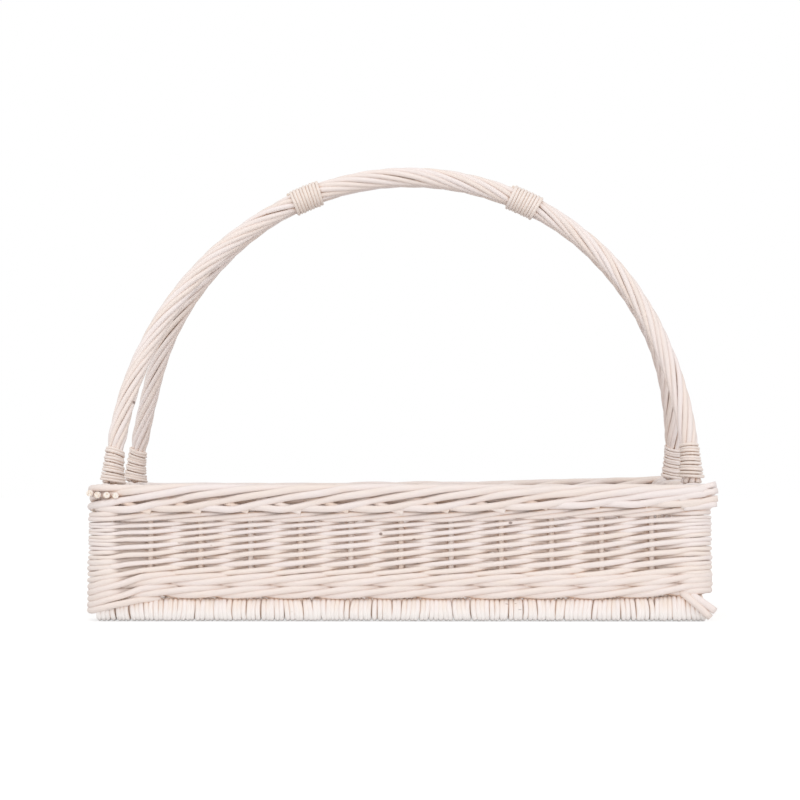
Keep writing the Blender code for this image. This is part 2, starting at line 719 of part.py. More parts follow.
def make_bindings(foot, cane):
    for word, side in (("front", -1), ("back", 1)):
        angles, lengths = bow_line(side, foot)

        def leg_frame(place, angles=angles, lengths=lengths, side=side):
            return bow_frame(np.interp(place, lengths, angles), side, foot)

        margin = LEG_BINDING_LENGTH / LEG_BINDING_TURNS / 2
        ends = (
            ("left", margin),
            ("right", lengths[-1] - margin - LEG_BINDING_LENGTH),
        )
        for end, start in ends:
            make_binding(
                f"leg_binding_{word}_{end}", leg_outline(), leg_frame, start,
                LEG_BINDING_LENGTH, LEG_BINDING_TURNS, CANE_RADIUS, cane,
            )
    angles, lengths = bow_line(0, foot)

    def grip_frame(place):
        return bow_frame(np.interp(place, lengths, angles), 0, foot)

    left = math.acos(BOW_LEFT_BINDING_X / HALF_LENGTH)
    right = math.pi - math.acos(BOW_RIGHT_BINDING_X / HALF_LENGTH)
    for word, angle in (("left", left), ("right", right)):
        start = np.interp(angle, angles, lengths) - GRIP_BINDING_LENGTH / 2
        make_binding(
            f"grip_binding_{word}", grip_outline(), grip_frame, start,
            GRIP_BINDING_LENGTH, GRIP_BINDING_TURNS, GRIP_CANE_RADIUS, cane,
        )


def main():
    clear_scene()
    weaver_willow = make_material("willow_weaver", WEAVER_COLOUR, WILLOW_ROUGHNESS)
    wale_willow = make_material("willow_wale", WALE_COLOUR, WILLOW_ROUGHNESS)
    stake_willow = make_material("willow_stake", STAKE_COLOUR, WILLOW_ROUGHNESS)
    border_willow = make_material("willow_border", BORDER_COLOUR, WILLOW_ROUGHNESS)
    base_willow = make_material("willow_base", BASE_COLOUR, WILLOW_ROUGHNESS)
    stick_willow = make_material("willow_stick", STICK_COLOUR, WILLOW_ROUGHNESS)
    handle_willow = make_material("willow_handle", HANDLE_COLOUR, WILLOW_ROUGHNESS)
    cane = make_material("cane_binding", CANE_COLOUR, CANE_ROUGHNESS)

    make_base(base_willow, stick_willow)
    make_corner_rods(wale_willow)
    wall_top = weave_wall(weaver_willow, wale_willow)
    border_middle = wall_top + BORDER_HALF_HEIGHT + BORDER_RADIUS
    make_all_stakes(border_middle, stake_willow)
    make_border(border_middle, border_willow)
    foot = border_middle + BORDER_HALF_HEIGHT + BORDER_RADIUS + ROD_GAP
    for word, side in (("front", -1), ("back", 1)):
        make_bow(word, side, foot, handle_willow, stick_willow)
    make_bindings(foot, cane)


main()
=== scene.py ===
# %% [markdown]
# # A serving basket of whitewashed willow
#
# This is a shallow oblong tray woven of peeled willow rods, brushed with thin white paint, under one tall handle
# of two twisted bows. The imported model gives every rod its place. Here each rod gets the curve, thickness and
# finish of the real one. We start by loading that model and by writing down the sizes that the weave is set out
# with, all in metres.

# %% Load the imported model
import math

import bpy
import numpy as np
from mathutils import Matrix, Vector


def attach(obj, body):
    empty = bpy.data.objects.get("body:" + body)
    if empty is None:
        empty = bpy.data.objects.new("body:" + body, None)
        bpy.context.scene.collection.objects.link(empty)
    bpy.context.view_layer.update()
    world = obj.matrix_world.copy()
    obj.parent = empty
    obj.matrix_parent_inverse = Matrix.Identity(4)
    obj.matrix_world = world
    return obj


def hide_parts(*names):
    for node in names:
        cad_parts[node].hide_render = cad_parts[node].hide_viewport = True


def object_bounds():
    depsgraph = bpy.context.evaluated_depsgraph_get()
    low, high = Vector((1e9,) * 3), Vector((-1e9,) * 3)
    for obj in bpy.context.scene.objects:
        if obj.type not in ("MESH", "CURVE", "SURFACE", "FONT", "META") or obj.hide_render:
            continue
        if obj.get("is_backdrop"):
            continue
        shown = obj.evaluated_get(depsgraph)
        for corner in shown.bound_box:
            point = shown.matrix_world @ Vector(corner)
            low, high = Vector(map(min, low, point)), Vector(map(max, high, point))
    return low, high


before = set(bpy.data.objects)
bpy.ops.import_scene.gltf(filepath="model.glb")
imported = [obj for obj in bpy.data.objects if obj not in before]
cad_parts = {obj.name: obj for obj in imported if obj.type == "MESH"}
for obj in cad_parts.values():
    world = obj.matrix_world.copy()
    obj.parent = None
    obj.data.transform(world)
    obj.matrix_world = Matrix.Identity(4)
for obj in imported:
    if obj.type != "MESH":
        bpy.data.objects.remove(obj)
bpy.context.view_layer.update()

# %% The sizes of the weave
STAKE_PITCH = 0.041
LONG_INTERVALS = 12
SHORT_INTERVALS = 8
HALF_LENGTH = LONG_INTERVALS * STAKE_PITCH / 2
HALF_DEPTH = SHORT_INTERVALS * STAKE_PITCH / 2
ALL_INTERVALS = 2 * (LONG_INTERVALS + SHORT_INTERVALS)
CORNERS = (0, LONG_INTERVALS, LONG_INTERVALS + SHORT_INTERVALS, 2 * LONG_INTERVALS + SHORT_INTERVALS)
WALL_ENDS = (*CORNERS[1:], ALL_INTERVALS)
CORNER_RADIUS = 0.0085
STAKE_RADIUS = 0.0021

chance = np.random.default_rng(7)
print("stakes:", ALL_INTERVALS, "round a plan of", 2 * HALF_LENGTH, "by", 2 * HALF_DEPTH, "m")

# %% [markdown]
# ## Small helpers for shader trees
#
# The light and the finish are both built from shader nodes. A few short functions make a node, set what goes into
# it and hand back what comes out, so that a tree reads like a sum.


# %% Helpers for shader trees
def feed(tree, socket, value):
    """Sets a socket to a value, or links it from another socket."""
    if isinstance(value, bpy.types.NodeSocket):
        tree.links.new(value, socket)
    else:
        socket.default_value = value


def math_node(tree, operation, *values):
    node = tree.nodes.new("ShaderNodeMath")
    node.operation = operation
    for socket, value in zip(node.inputs, values):
        feed(tree, socket, value)
    return node.outputs[0]


def mix_colours(tree, share, first, second):
    node = tree.nodes.new("ShaderNodeMix")
    node.data_type = "RGBA"
    feed(tree, node.inputs[0], share)
    feed(tree, node.inputs[6], first)
    feed(tree, node.inputs[7], second)
    return node.outputs[2]


def noise(tree, vector, scale, detail=2.0, rough=0.5):
    node = tree.nodes.new("ShaderNodeTexNoise")
    tree.links.new(vector, node.inputs["Vector"])
    node.inputs["Scale"].default_value = scale
    node.inputs["Detail"].default_value = detail
    node.inputs["Roughness"].default_value = rough
    return node.outputs["Fac"]


def ramp(tree, value, low, high):
    """Climbs smoothly from 0 at low to 1 at high. With low above high it falls instead."""
    node = tree.nodes.new("ShaderNodeMapRange")
    node.interpolation_type = "SMOOTHSTEP"
    feed(tree, node.inputs["Value"], value)
    node.inputs["From Min"].default_value = low
    node.inputs["From Max"].default_value = high
    return node.outputs["Result"]


# %% [markdown]
# ## Camera, light and floor
#
# The photograph was taken from a little above the rim, straight on to the long side, with a long lens, in soft
# light from all round that leaves hardly a shadow. The camera stands where the perspective of the basket says:
# 2.2 m away and 135 mm above the table, with a lens of 114 mm. A pale world does most of the lighting. One broad
# lamp beside the camera lights the wall evenly, and two weak ones give the rods their roundness. The floor and
# the world are seen as plain white, because Light Path tells a camera ray from the rays that light the basket.

# %% Camera
bpy.ops.object.select_all(action="DESELECT")
bpy.ops.object.camera_add(location=(0.0145, -2.2386, 0.1351), rotation=(math.radians(91.27), 0, math.radians(0.424)))
camera = bpy.context.object
camera.data.lens = 114.0
camera.data.sensor_width = 36
camera.data.clip_end = 50
bpy.context.scene.camera = camera
print("camera lens:", camera.data.lens, "mm")


# %% White that the camera sees, round a gentler light
def background(tree, colour, strength):
    node = tree.nodes.new("ShaderNodeBackground")
    node.inputs["Color"].default_value = (*colour, 1)
    node.inputs["Strength"].default_value = strength
    return node


world = bpy.data.worlds.new("pale_room")
bpy.context.scene.world = world
world.use_nodes = True
tree = world.node_tree
tree.nodes.clear()
rays = tree.nodes.new("ShaderNodeLightPath")
seen = math_node(tree, "MAXIMUM", rays.outputs["Is Camera Ray"], rays.outputs["Is Glossy Ray"])
seen = math_node(tree, "MAXIMUM", seen, rays.outputs["Is Transmission Ray"])
sky = tree.nodes.new("ShaderNodeMixShader")
tree.links.new(seen, sky.inputs["Fac"])
tree.links.new(background(tree, (1.0, 0.992, 0.988), 0.80).outputs[0], sky.inputs[1])
tree.links.new(background(tree, (1, 1, 1), 1).outputs[0], sky.inputs[2])
world_out = tree.nodes.new("ShaderNodeOutputWorld")
tree.links.new(sky.outputs[0], world_out.inputs["Surface"])
bpy.context.scene.view_settings.view_transform = "Standard"


# %% Lamps and floor
FLOOR_IN_LIGHT = (0.86, 0.86, 0.86, 1)
FLOOR_TO_CAMERA = (0.42, 0.42, 0.42, 1)
FLOOR_GLOW = 0.66


def add_lamp(name, place, aim, size, watts, colour):
    bpy.ops.object.light_add(type="AREA", location=place)
    lamp = bpy.context.object
    lamp.name = name
    lamp.data.shape = "DISK"
    lamp.data.size = size
    lamp.data.energy = watts
    lamp.data.color = colour
    lamp.rotation_euler = (Vector(aim) - Vector(place)).to_track_quat("-Z", "Y").to_euler()


add_lamp("lamp_above", (-0.5, -0.9, 1.9), aim=(0, 0, 0.1), size=1.4, watts=6, colour=(1.0, 0.995, 0.99))
add_lamp("lamp_side", (1.5, -1.6, 0.9), aim=(0, 0, 0.15), size=1.2, watts=3, colour=(1.0, 0.99, 0.98))
add_lamp("lamp_front", (0, -3.4, 0.30), aim=(0, 0, 0.1), size=2.4, watts=31, colour=(1.0, 0.995, 0.99))

bpy.ops.mesh.primitive_circle_add(vertices=96, radius=6, fill_type="NGON", location=(0, 0, 0))
floor = bpy.context.object
floor.name = "floor"
floor_white = bpy.data.materials.new("floor_white")
floor_white.use_nodes = True
tree = floor_white.node_tree
surface = tree.nodes["Principled BSDF"]
surface.inputs["Roughness"].default_value = 1
to_camera = tree.nodes.new("ShaderNodeLightPath").outputs["Is Camera Ray"]
tree.links.new(mix_colours(tree, to_camera, FLOOR_IN_LIGHT, FLOOR_TO_CAMERA), surface.inputs["Base Color"])
glow = tree.nodes.new("ShaderNodeEmission")
glow.inputs["Color"].default_value = (1, 1, 1, 1)
tree.links.new(math_node(tree, "MULTIPLY", to_camera, FLOOR_GLOW), glow.inputs["Strength"])
both = tree.nodes.new("ShaderNodeAddShader")
tree.links.new(surface.outputs[0], both.inputs[0])
tree.links.new(glow.outputs[0], both.inputs[1])
tree.links.new(both.outputs[0], tree.nodes["Material Output"].inputs["Surface"])
floor.data.materials.append(floor_white)
floor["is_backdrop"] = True

# %% [markdown]
# ## The finish: thin white paint over peeled willow
#
# Peeled willow is a warm tan wood with fine grain along the rod and a small dark scar wherever a bud sat. The
# paint is thin: it lies white on the outside of each rod, and in the gaps the bare wood's brown shows, partly because
# no brush reaches there and partly as painted shade. Three node groups do this. The first turns a rod's own map,
# metres along it and a share of the way round, into a place on a cylinder, so that a pattern follows the rod and has
# no seam. The second makes the wood with its grain and scars. The third lays the paint on. The Principled shader
# stays in each material. The weavers of the base are painted paler towards the table, as painted light from the
# white table below, so their material has one more step.


# %% A new node group
FLOAT, VECTOR, COLOUR = "NodeSocketFloat", "NodeSocketVector", "NodeSocketColor"


def new_group(name, inputs, outputs):
    """An empty group with these inputs and outputs, each given as label: kind."""
    group = bpy.data.node_groups.new(name, "ShaderNodeTree")
    for in_out, sockets in (("INPUT", inputs), ("OUTPUT", outputs)):
        for label, kind in sockets.items():
            group.interface.new_socket(label, in_out=in_out, socket_type=kind)
    return group, group.nodes.new("NodeGroupInput"), group.nodes.new("NodeGroupOutput")


# %% A place on the rod
PATTERN_RADIUS = 0.002
TONE_SHIFT = 5.0

tree, _, made = new_group("place on rod", {}, {"Vector": VECTOR, "Tone": FLOAT, "Brush And Light Reach": FLOAT})
uv = tree.nodes.new("ShaderNodeUVMap")
uv.uv_map = "UVMap"
split = tree.nodes.new("ShaderNodeSeparateXYZ")
tree.links.new(uv.outputs[0], split.inputs[0])
tone = tree.nodes.new("ShaderNodeAttribute")
tone.attribute_name = "rod_tone"
# Low on crowded rods: there the brown of the wood shows, as unpainted wood and as painted shade in the gaps.
reach = tree.nodes.new("ShaderNodeAttribute")
reach.attribute_name = "brush_and_light_reach"
turn = math_node(tree, "MULTIPLY", split.outputs["Y"], 2 * math.pi)
joined = tree.nodes.new("ShaderNodeCombineXYZ")
shifted = math_node(tree, "MULTIPLY_ADD", tone.outputs["Fac"], TONE_SHIFT, split.outputs["X"])
tree.links.new(shifted, joined.inputs["X"])
for wave, axis in (("COSINE", "Y"), ("SINE", "Z")):
    aside = math_node(tree, "MULTIPLY", math_node(tree, wave, turn), PATTERN_RADIUS)
    tree.links.new(aside, joined.inputs[axis])
tree.links.new(joined.outputs[0], made.inputs["Vector"])
tree.links.new(tone.outputs["Fac"], made.inputs["Tone"])
tree.links.new(reach.outputs["Fac"], made.inputs["Brush And Light Reach"])
place_group = tree

# %% The peeled willow
LIGHT_WOOD = (0.88, 0.67, 0.53, 1)
DARK_WOOD = (0.66, 0.46, 0.34, 1)
BUD_SCAR = (0.12, 0.05, 0.03, 1)

outputs = {"Color": COLOUR, "Grain": FLOAT, "Scar": FLOAT}
tree, given, made = new_group("peeled willow", {"Vector": VECTOR}, outputs)
along = tree.nodes.new("ShaderNodeMapping")
along.inputs["Scale"].default_value = (1, 14, 14)
tree.links.new(given.outputs["Vector"], along.inputs["Vector"])
grain = noise(tree, along.outputs[0], 60, detail=4, rough=0.65)
patches = noise(tree, given.outputs["Vector"], 9, detail=2)
scars = tree.nodes.new("ShaderNodeTexVoronoi")
scars.inputs["Scale"].default_value = 55
tree.links.new(given.outputs["Vector"], scars.inputs["Vector"])
chosen = tree.nodes.new("ShaderNodeSeparateColor")
tree.links.new(scars.outputs["Color"], chosen.inputs[0])
small = ramp(tree, scars.outputs["Distance"], 0.13, 0.05)
scar = math_node(tree, "MULTIPLY", small, math_node(tree, "GREATER_THAN", chosen.outputs[0], 0.72))
warm = math_node(tree, "MULTIPLY", grain, 0.5)
warm = math_node(tree, "ADD", warm, math_node(tree, "MULTIPLY", patches, 0.6))
warm = ramp(tree, warm, 0.35, 0.85)
wood_colour = mix_colours(tree, scar, mix_colours(tree, warm, LIGHT_WOOD, DARK_WOOD), BUD_SCAR)
tree.links.new(wood_colour, made.inputs["Color"])
tree.links.new(grain, made.inputs["Grain"])
tree.links.new(scar, made.inputs["Scar"])
wood_group = tree

# %% The thin paint
inputs = dict.fromkeys(("Tone", "Brush And Light Reach", "Grain", "Scar", "Cover"), FLOAT)
inputs |= {"Vector": VECTOR, "Wood": COLOUR, "Paint": COLOUR, "Warm Paint": COLOUR}
outputs = {"Color": COLOUR, "Roughness": FLOAT, "Height": FLOAT}
tree, given, made = new_group("thin white paint", inputs, outputs)
streaky = tree.nodes.new("ShaderNodeMapping")
streaky.inputs["Scale"].default_value = (1, 5, 5)
tree.links.new(given.outputs["Vector"], streaky.inputs["Vector"])
streaks = noise(tree, streaky.outputs[0], 34, detail=3, rough=0.6)
toned = math_node(tree, "MULTIPLY", given.outputs["Tone"], 0.45)
warmth = ramp(tree, math_node(tree, "MULTIPLY_ADD", streaks, 0.7, toned), 0.30, 0.85)
paint_colour = mix_colours(tree, warmth, given.outputs["Paint"], given.outputs["Warm Paint"])
worn = math_node(tree, "SUBTRACT", 1.0, ramp(tree, streaks, 0.62, 0.80))
cover = given.outputs["Cover"]
# The cover falls where brush and light reach little, so the wood's brown shows in the gaps: bare wood and painted
# shade.
for part in (
    math_node(tree, "MULTIPLY_ADD", worn, 0.18, 0.82),
    ramp(tree, given.outputs["Brush And Light Reach"], 0.0, 0.85),
    math_node(tree, "MULTIPLY_ADD", given.outputs["Scar"], -0.7, 1.0),
):
    cover = math_node(tree, "MULTIPLY", cover, part)
tree.links.new(mix_colours(tree, cover, given.outputs["Wood"], paint_colour), made.inputs["Color"])
tree.links.new(math_node(tree, "MULTIPLY_ADD", streaks, 0.16, 0.56), made.inputs["Roughness"])
streak_height = math_node(tree, "MULTIPLY", streaks, 0.4)
height = math_node(tree, "MULTIPLY_ADD", given.outputs["Grain"], 0.6, streak_height)
height = math_node(tree, "MULTIPLY_ADD", given.outputs["Scar"], -0.6, height)
tree.links.new(height, made.inputs["Height"])
paint_group = tree


# %% Willow materials from these groups
BUMP_DISTANCE = 0.0004
# Painted light: the base weavers are painted paler towards the table, for the light that the white table throws up at
# them.
TABLE_BOUNCE_PAINT = (0.93, 0.89, 0.87, 1)
TABLE_BOUNCE_FROM, TABLE_BOUNCE_FULL = 0.0165, 0.004


def willow(name, paint, warm_paint, cover=0.92, bump=0.25, painted_table_bounce=False):
    material = bpy.data.materials.new(name)
    material.use_nodes = True
    tree = material.node_tree
    shader = tree.nodes["Principled BSDF"]
    where, wood, coat = (tree.nodes.new("ShaderNodeGroup") for _ in range(3))
    where.node_tree, wood.node_tree, coat.node_tree = place_group, wood_group, paint_group
    coat.inputs["Paint"].default_value = (*paint, 1)
    coat.inputs["Warm Paint"].default_value = (*warm_paint, 1)
    coat.inputs["Cover"].default_value = cover
    tree.links.new(where.outputs["Vector"], wood.inputs["Vector"])
    tree.links.new(wood.outputs["Color"], coat.inputs["Wood"])
    for group, labels in ((where, ("Vector", "Tone", "Brush And Light Reach")), (wood, ("Grain", "Scar"))):
        for label in labels:
            tree.links.new(group.outputs[label], coat.inputs[label])
    relief = tree.nodes.new("ShaderNodeBump")
    relief.inputs["Strength"].default_value = bump
    relief.inputs["Distance"].default_value = BUMP_DISTANCE
    tree.links.new(coat.outputs["Height"], relief.inputs["Height"])
    colour = coat.outputs["Color"]
    # Painted light from the table below: paler towards the table, where the rod faces open air.
    if painted_table_bounce:
        place = tree.nodes.new("ShaderNodeTexCoord")
        height = tree.nodes.new("ShaderNodeSeparateXYZ")
        tree.links.new(place.outputs["Object"], height.inputs[0])
        low = ramp(tree, height.outputs["Z"], TABLE_BOUNCE_FROM, TABLE_BOUNCE_FULL)
        open_air = ramp(tree, where.outputs["Brush And Light Reach"], 0.25, 0.75)
        colour = mix_colours(tree, math_node(tree, "MULTIPLY", low, open_air), colour, TABLE_BOUNCE_PAINT)
    tree.links.new(colour, shader.inputs["Base Color"])
    tree.links.new(coat.outputs["Roughness"], shader.inputs["Roughness"])
    tree.links.new(relief.outputs[0], shader.inputs["Normal"])
    shader.inputs["Specular IOR Level"].default_value = 0.3
    return material


weaver_finish = willow("painted_weaver", (0.87, 0.805, 0.795), (0.86, 0.775, 0.725))
wale_finish = willow("painted_wale", (0.86, 0.79, 0.78), (0.84, 0.75, 0.70))
# The stakes' paint is lighter than the weavers', as painted light against the shade of the slots they sit in.
stake_finish = willow("painted_stake", (0.90, 0.82, 0.78), (0.88, 0.76, 0.68), cover=0.95)
border_finish = willow("painted_border", (0.85, 0.785, 0.775), (0.83, 0.74, 0.69))
# The base weavers' paint is lighter than the wall's, as painted light against the shade that the waling above casts
# on them.
base_finish = willow("painted_base_weaver", (0.91, 0.84, 0.82), (0.89, 0.79, 0.72), cover=0.95, painted_table_bounce=True)
stick_finish = willow("painted_stick", (0.83, 0.745, 0.69), (0.76, 0.64, 0.54), cover=0.8)
handle_finish = willow("painted_handle_rod", (0.86, 0.795, 0.785), (0.84, 0.75, 0.70), bump=0.1)
cane_finish = willow("painted_cane", (0.86, 0.795, 0.775), (0.84, 0.755, 0.70), bump=0.15)
print("finishes:", [item.name for item in bpy.data.materials if item.name.startswith("painted")])

# %% [markdown]
# ### Cut ends
#
# A rod cut off with a knife shows bright, raw wood speckled with its pith. The caps of the rods get a material of
# their own for this.

# %% The cut end
cut_finish = bpy.data.materials.new("cut_end")
cut_finish.use_nodes = True
tree = cut_finish.node_tree
here = tree.nodes.new("ShaderNodeTexCoord")
speckle = noise(tree, here.outputs["Object"], 900, detail=2)
cut_colour = mix_colours(tree, ramp(tree, speckle, 0.4, 0.7), (0.90, 0.84, 0.78, 1), (0.72, 0.56, 0.42, 1))
tree.links.new(cut_colour, tree.nodes["Principled BSDF"].inputs["Base Color"])
tree.links.new(math_node(tree, "MULTIPLY_ADD", speckle, 0.2, 0.65), tree.nodes["Principled BSDF"].inputs["Roughness"])

# %% [markdown]
# ## Drawing rods
#
# A woven rod is a long, thin, bent thing, so it is drawn the way one bends wire in Blender: a path curve gives
# its line, each point's radius gives its taper, and the curve's bevel makes it round. Boxes or cylinders could
# not follow the weave. Each curve is converted to a mesh, its map is set to real metres along the rod, and it
# gets a random tone, so that no two rods look alike. Then all the rods of one piece are joined.


# %% Draw rods as bevelled curves and join them
def draw_rods(name, rods, finish, closed=False, detail=3):
    """rods is a list of (points, radii), both arrays. Returns one closed mesh object of all of them."""
    drawn = []
    for points, radii in rods:
        bpy.ops.curve.primitive_nurbs_path_add(location=(0, 0, 0))
        rod = bpy.context.object
        line = rod.data
        line.splines.clear()
        spline = line.splines.new("POLY")
        spline.points.add(len(points) - 1)
        spline.points.foreach_set("co", np.column_stack([points, np.ones(len(points))]).ravel())
        spline.points.foreach_set("radius", np.broadcast_to(radii, len(points)).astype(float))
        spline.use_cyclic_u = closed
        line.dimensions = "3D"
        line.twist_mode = "MINIMUM"
        line.bevel_depth = 1
        line.bevel_resolution = detail
        line.use_fill_caps = not closed
        rod["length"] = float(np.linalg.norm(np.diff(points, axis=0), axis=1).sum())
        drawn.append(rod)
    for rod in drawn:
        rod.select_set(True)
    bpy.context.view_layer.objects.active = drawn[0]
    bpy.ops.object.convert(target="MESH")
    for rod in drawn:
        mesh = rod.data
        places = np.empty(len(mesh.loops) * 2, np.float32)
        mesh.uv_layers[0].uv.foreach_get("vector", places)
        places[0::2] *= rod["length"]
        mesh.uv_layers[0].uv.foreach_set("vector", places)
        tones = mesh.attributes.new("rod_tone", "FLOAT", "POINT")
        tones.data.foreach_set("value", np.full(len(mesh.vertices), chance.random(), np.float32))
    if len(drawn) > 1:
        bpy.ops.object.join()
    piece = bpy.context.object
    piece.name = name
    piece.data.name = name
    bpy.ops.object.mode_set(mode="EDIT")
    bpy.ops.mesh.select_all(action="SELECT")
    bpy.ops.mesh.remove_doubles(threshold=0.000001)
    bpy.ops.object.mode_set(mode="OBJECT")
    piece.data.materials.clear()
    piece.data.materials.append(finish)
    piece.data.materials.append(cut_finish)
    corners = np.empty(len(piece.data.polygons), np.int32)
    piece.data.polygons.foreach_get("loop_total", corners)
    caps = corners == 3
    piece.data.polygons.foreach_set("material_index", caps.astype(np.int32))
    piece.data.polygons.foreach_set("use_smooth", ~caps)
    piece.select_set(False)
    return piece


pieces = []


def place_piece(piece, slot, *nodes):
    """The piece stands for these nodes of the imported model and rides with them."""
    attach(piece, "root")
    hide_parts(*nodes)
    pieces.append(piece)
    faces = sum(len(face.vertices) - 2 for face in piece.data.polygons)
    print(f"{piece.name}: {faces} triangles, for {', '.join(nodes)}")


# %% [markdown]
# ## Setting out the wall
#
# Every weaver runs round the same oblong, so its line is written in three numbers: how many stake intervals it
# has gone from the front left corner, how far outside the stakes it lies, and its height. A rod is given a few
# such stations, at the stakes and between them, and a smooth curve through them is as a springy rod bends. At
# the corners the plan is rounded, since no rod turns a sharp corner.
#
# No basket comes out level. This one's rim rises and falls behind, its foot lies higher at the front right corner,
# and the rows spread apart there under a thinner border. Everything that runs round the wall is lifted alike by
# these small amounts, so that stakes, rods and border still meet.


# %% From rows of numbers to points round the wall
RIM_PLACES = (0, 12, 16, 20, 24, 28, 31, 33.5, 40)
RIM_LIFT = (0, 0, 0.0012, 0.0042, -0.0006, -0.0022, -0.0024, -0.0002, 0)
RIM_FROM, RIM_FULL = 0.055, 0.100
FOOT_PLACES = (10.0, 11, 11.6, 12, 12.4, 13.4)
FOOT_LIFT = (0, 0.0010, 0.0027, 0.0036, 0.0027, 0)
FOOT_UP_TO, FOOT_FADE = 0.089, 0.022
SPREAD_PLACES = (7, 9.5, 12, 12.6, 14)
SPREAD_SHARES = (0, 0.6, 1, 0.6, 0)
SPREAD_HEIGHTS = (0.0185, 0.030, 0.040, 0.060, 0.080, 0.089, 0.097, 0.106)
SPREAD_LIFT = (0.0006, 0, -0.0028, 0, 0.0045, 0.0058, 0.0034, 0)
WALL_WAYS = ((1, 0), (0, 1), (-1, 0), (0, -1))
WALL_CORNERS = tuple((x * HALF_LENGTH, y * HALF_DEPTH) for x, y in ((-1, -1), (1, -1), (1, 1), (-1, 1)))


def spread_share(places):
    """How far the rows are spread apart at a place: fully at the front right corner."""
    return np.interp(np.mod(places, ALL_INTERVALS), SPREAD_PLACES, SPREAD_SHARES)


def lifted(places, heights):
    """The heights with the unevenness of this one basket."""
    rim = np.interp(places, RIM_PLACES, RIM_LIFT) * np.clip((heights - RIM_FROM) / (RIM_FULL - RIM_FROM), 0, 1)
    foot = np.interp(places, FOOT_PLACES, FOOT_LIFT) * np.clip((FOOT_UP_TO - heights) / FOOT_FADE, 0, 1)
    return heights + rim + foot + spread_share(places) * np.interp(heights, SPREAD_HEIGHTS, SPREAD_LIFT)


def round_wall(line):
    """A rod's points and radii round the wall, from rows of interval, distance out, height and radius."""
    places = np.mod(line[:, 0], ALL_INTERVALS)
    points = np.empty((len(places), 3))
    bend = CORNER_RADIUS / STAKE_PITCH
    for wall, (start, end) in enumerate(zip(CORNERS, WALL_ENDS)):
        here = (places >= start) & (places < end)
        past, left = places[here] - start, end - places[here]
        way = np.array(WALL_WAYS[wall])
        outward = np.array([way[1], -way[0]])
        base = np.array(WALL_CORNERS[wall]) + np.outer(past * STAKE_PITCH, way)
        facing = np.tile(outward.astype(float), (len(past), 1))
        for near, turn_to, corner in ((past, -1, WALL_CORNERS[wall]), (left, 1, WALL_CORNERS[(wall + 1) % 4])):
            bent = near < bend
            angle = (math.pi / 4) * (1 - near[bent] / bend)
            turned = np.outer(np.cos(angle), outward) + np.outer(np.sin(angle) * turn_to, way)
            centre = np.array(corner) - CORNER_RADIUS * (outward + turn_to * way)
            base[bent] = centre + CORNER_RADIUS * turned
            facing[bent] = turned
        points[here, :2] = base + facing * line[here, 1, None]
    points[:, 2] = lifted(places, line[:, 2])
    return points, line[:, 3]


def smooth(stations, fineness, period=None):
    """A Catmull-Rom line through (interval, out, height, radius) stations, sampled this finely to an interval. It
    closes on itself if the intervals of a full round are given."""
    rows = np.array(stations, float)
    if period:
        round_on = np.array((period, 0, 0, 0))
        rows = np.vstack([rows[-1] - round_on, rows, rows[0] + round_on, rows[1] + round_on])
    else:
        rows = np.vstack([2 * rows[0] - rows[1], rows, 2 * rows[-1] - rows[-2]])
    found = []
    for p0, p1, p2, p3 in zip(rows, rows[1:], rows[2:], rows[3:]):
        span = p2[0] - p1[0]
        count = max(2, round(span * fineness))
        slope1 = (p2 - p0) / (p2[0] - p0[0]) * span
        slope2 = (p3 - p1) / (p3[0] - p1[0]) * span
        for t in np.arange(count) / count:
            found.append(
                (2 * t**3 - 3 * t**2 + 1) * p1 + (t**3 - 2 * t**2 + t) * slope1
                + (3 * t**2 - 2 * t**3) * p2 + (t**3 - t**2) * slope2
            )
    if not period:
        found.append(rows[-2])
    return np.array(found)


def jitter(size):
    return float(chance.normal(0, size))


# %% [markdown]
# ## The base
#
# The base is a frame of sticks lying lengthwise, a thick one under each long wall and four thinner ones between.
# Weavers run from front to back and wrap the thick sticks at both ends. Those wraps are the upright strokes along
# the bottom edge. Every second weaver starts over the sticks and the others under them, and each has a little
# difference of its own. A stake pushes the wraps beside it a little apart. Towards the front right corner the
# front wraps are taller, as the wall's foot lies higher there. Two rods across each end close the base.

# %% Base sizes
BASE_MIDDLE = 0.009
EDGE_STICK_Y = 0.1622
EDGE_STICK_RADIUS = 0.005
EDGE_STICK_REACH = 0.2405
INNER_STICK_RADIUS = 0.0035
INNER_STICK_REACH = 0.2515
INNER_STICK_YS = (-0.093, -0.031, 0.031, 0.093)
WEAVER_RADIUS = 0.00228
WEAVERS = 130
BASE_REACH = 0.2462
HUMP_HALF = 0.007
WRAP_RADIUS = 0.0065
WRAP_TALL = 1.25
WRAP_RISE_XS = (0.160, 0.205, 0.230, 0.246)
WRAP_RISES = (0, 0.18, 0.45, 0.58)
WRAPS_FROM_Y = 0.15
PUSH, PUSH_WIDTH = 0.0007, 0.0055
END_ROD_X, END_ROD_REACH, END_ROD_RADIUS = 0.2465, 0.1660, 0.0026
END_ROD_HEIGHTS = (0.0160, 0.0033)


# %% Base sticks
def straight_rod(start, end, radius, steps=24, wander=0.0):
    share = np.linspace(0, 1, steps)[:, None]
    points = np.array(start) * (1 - share) + np.array(end) * share
    phase = chance.random(2) * 6
    points[:, 1] += wander * np.sin(share[:, 0] * 9 + phase[0])
    points[:, 2] += wander * np.sin(share[:, 0] * 7 + phase[1])
    return points, np.full(steps, radius) * (1 + 0.03 * np.sin(share[:, 0] * 20 + phase[0]))


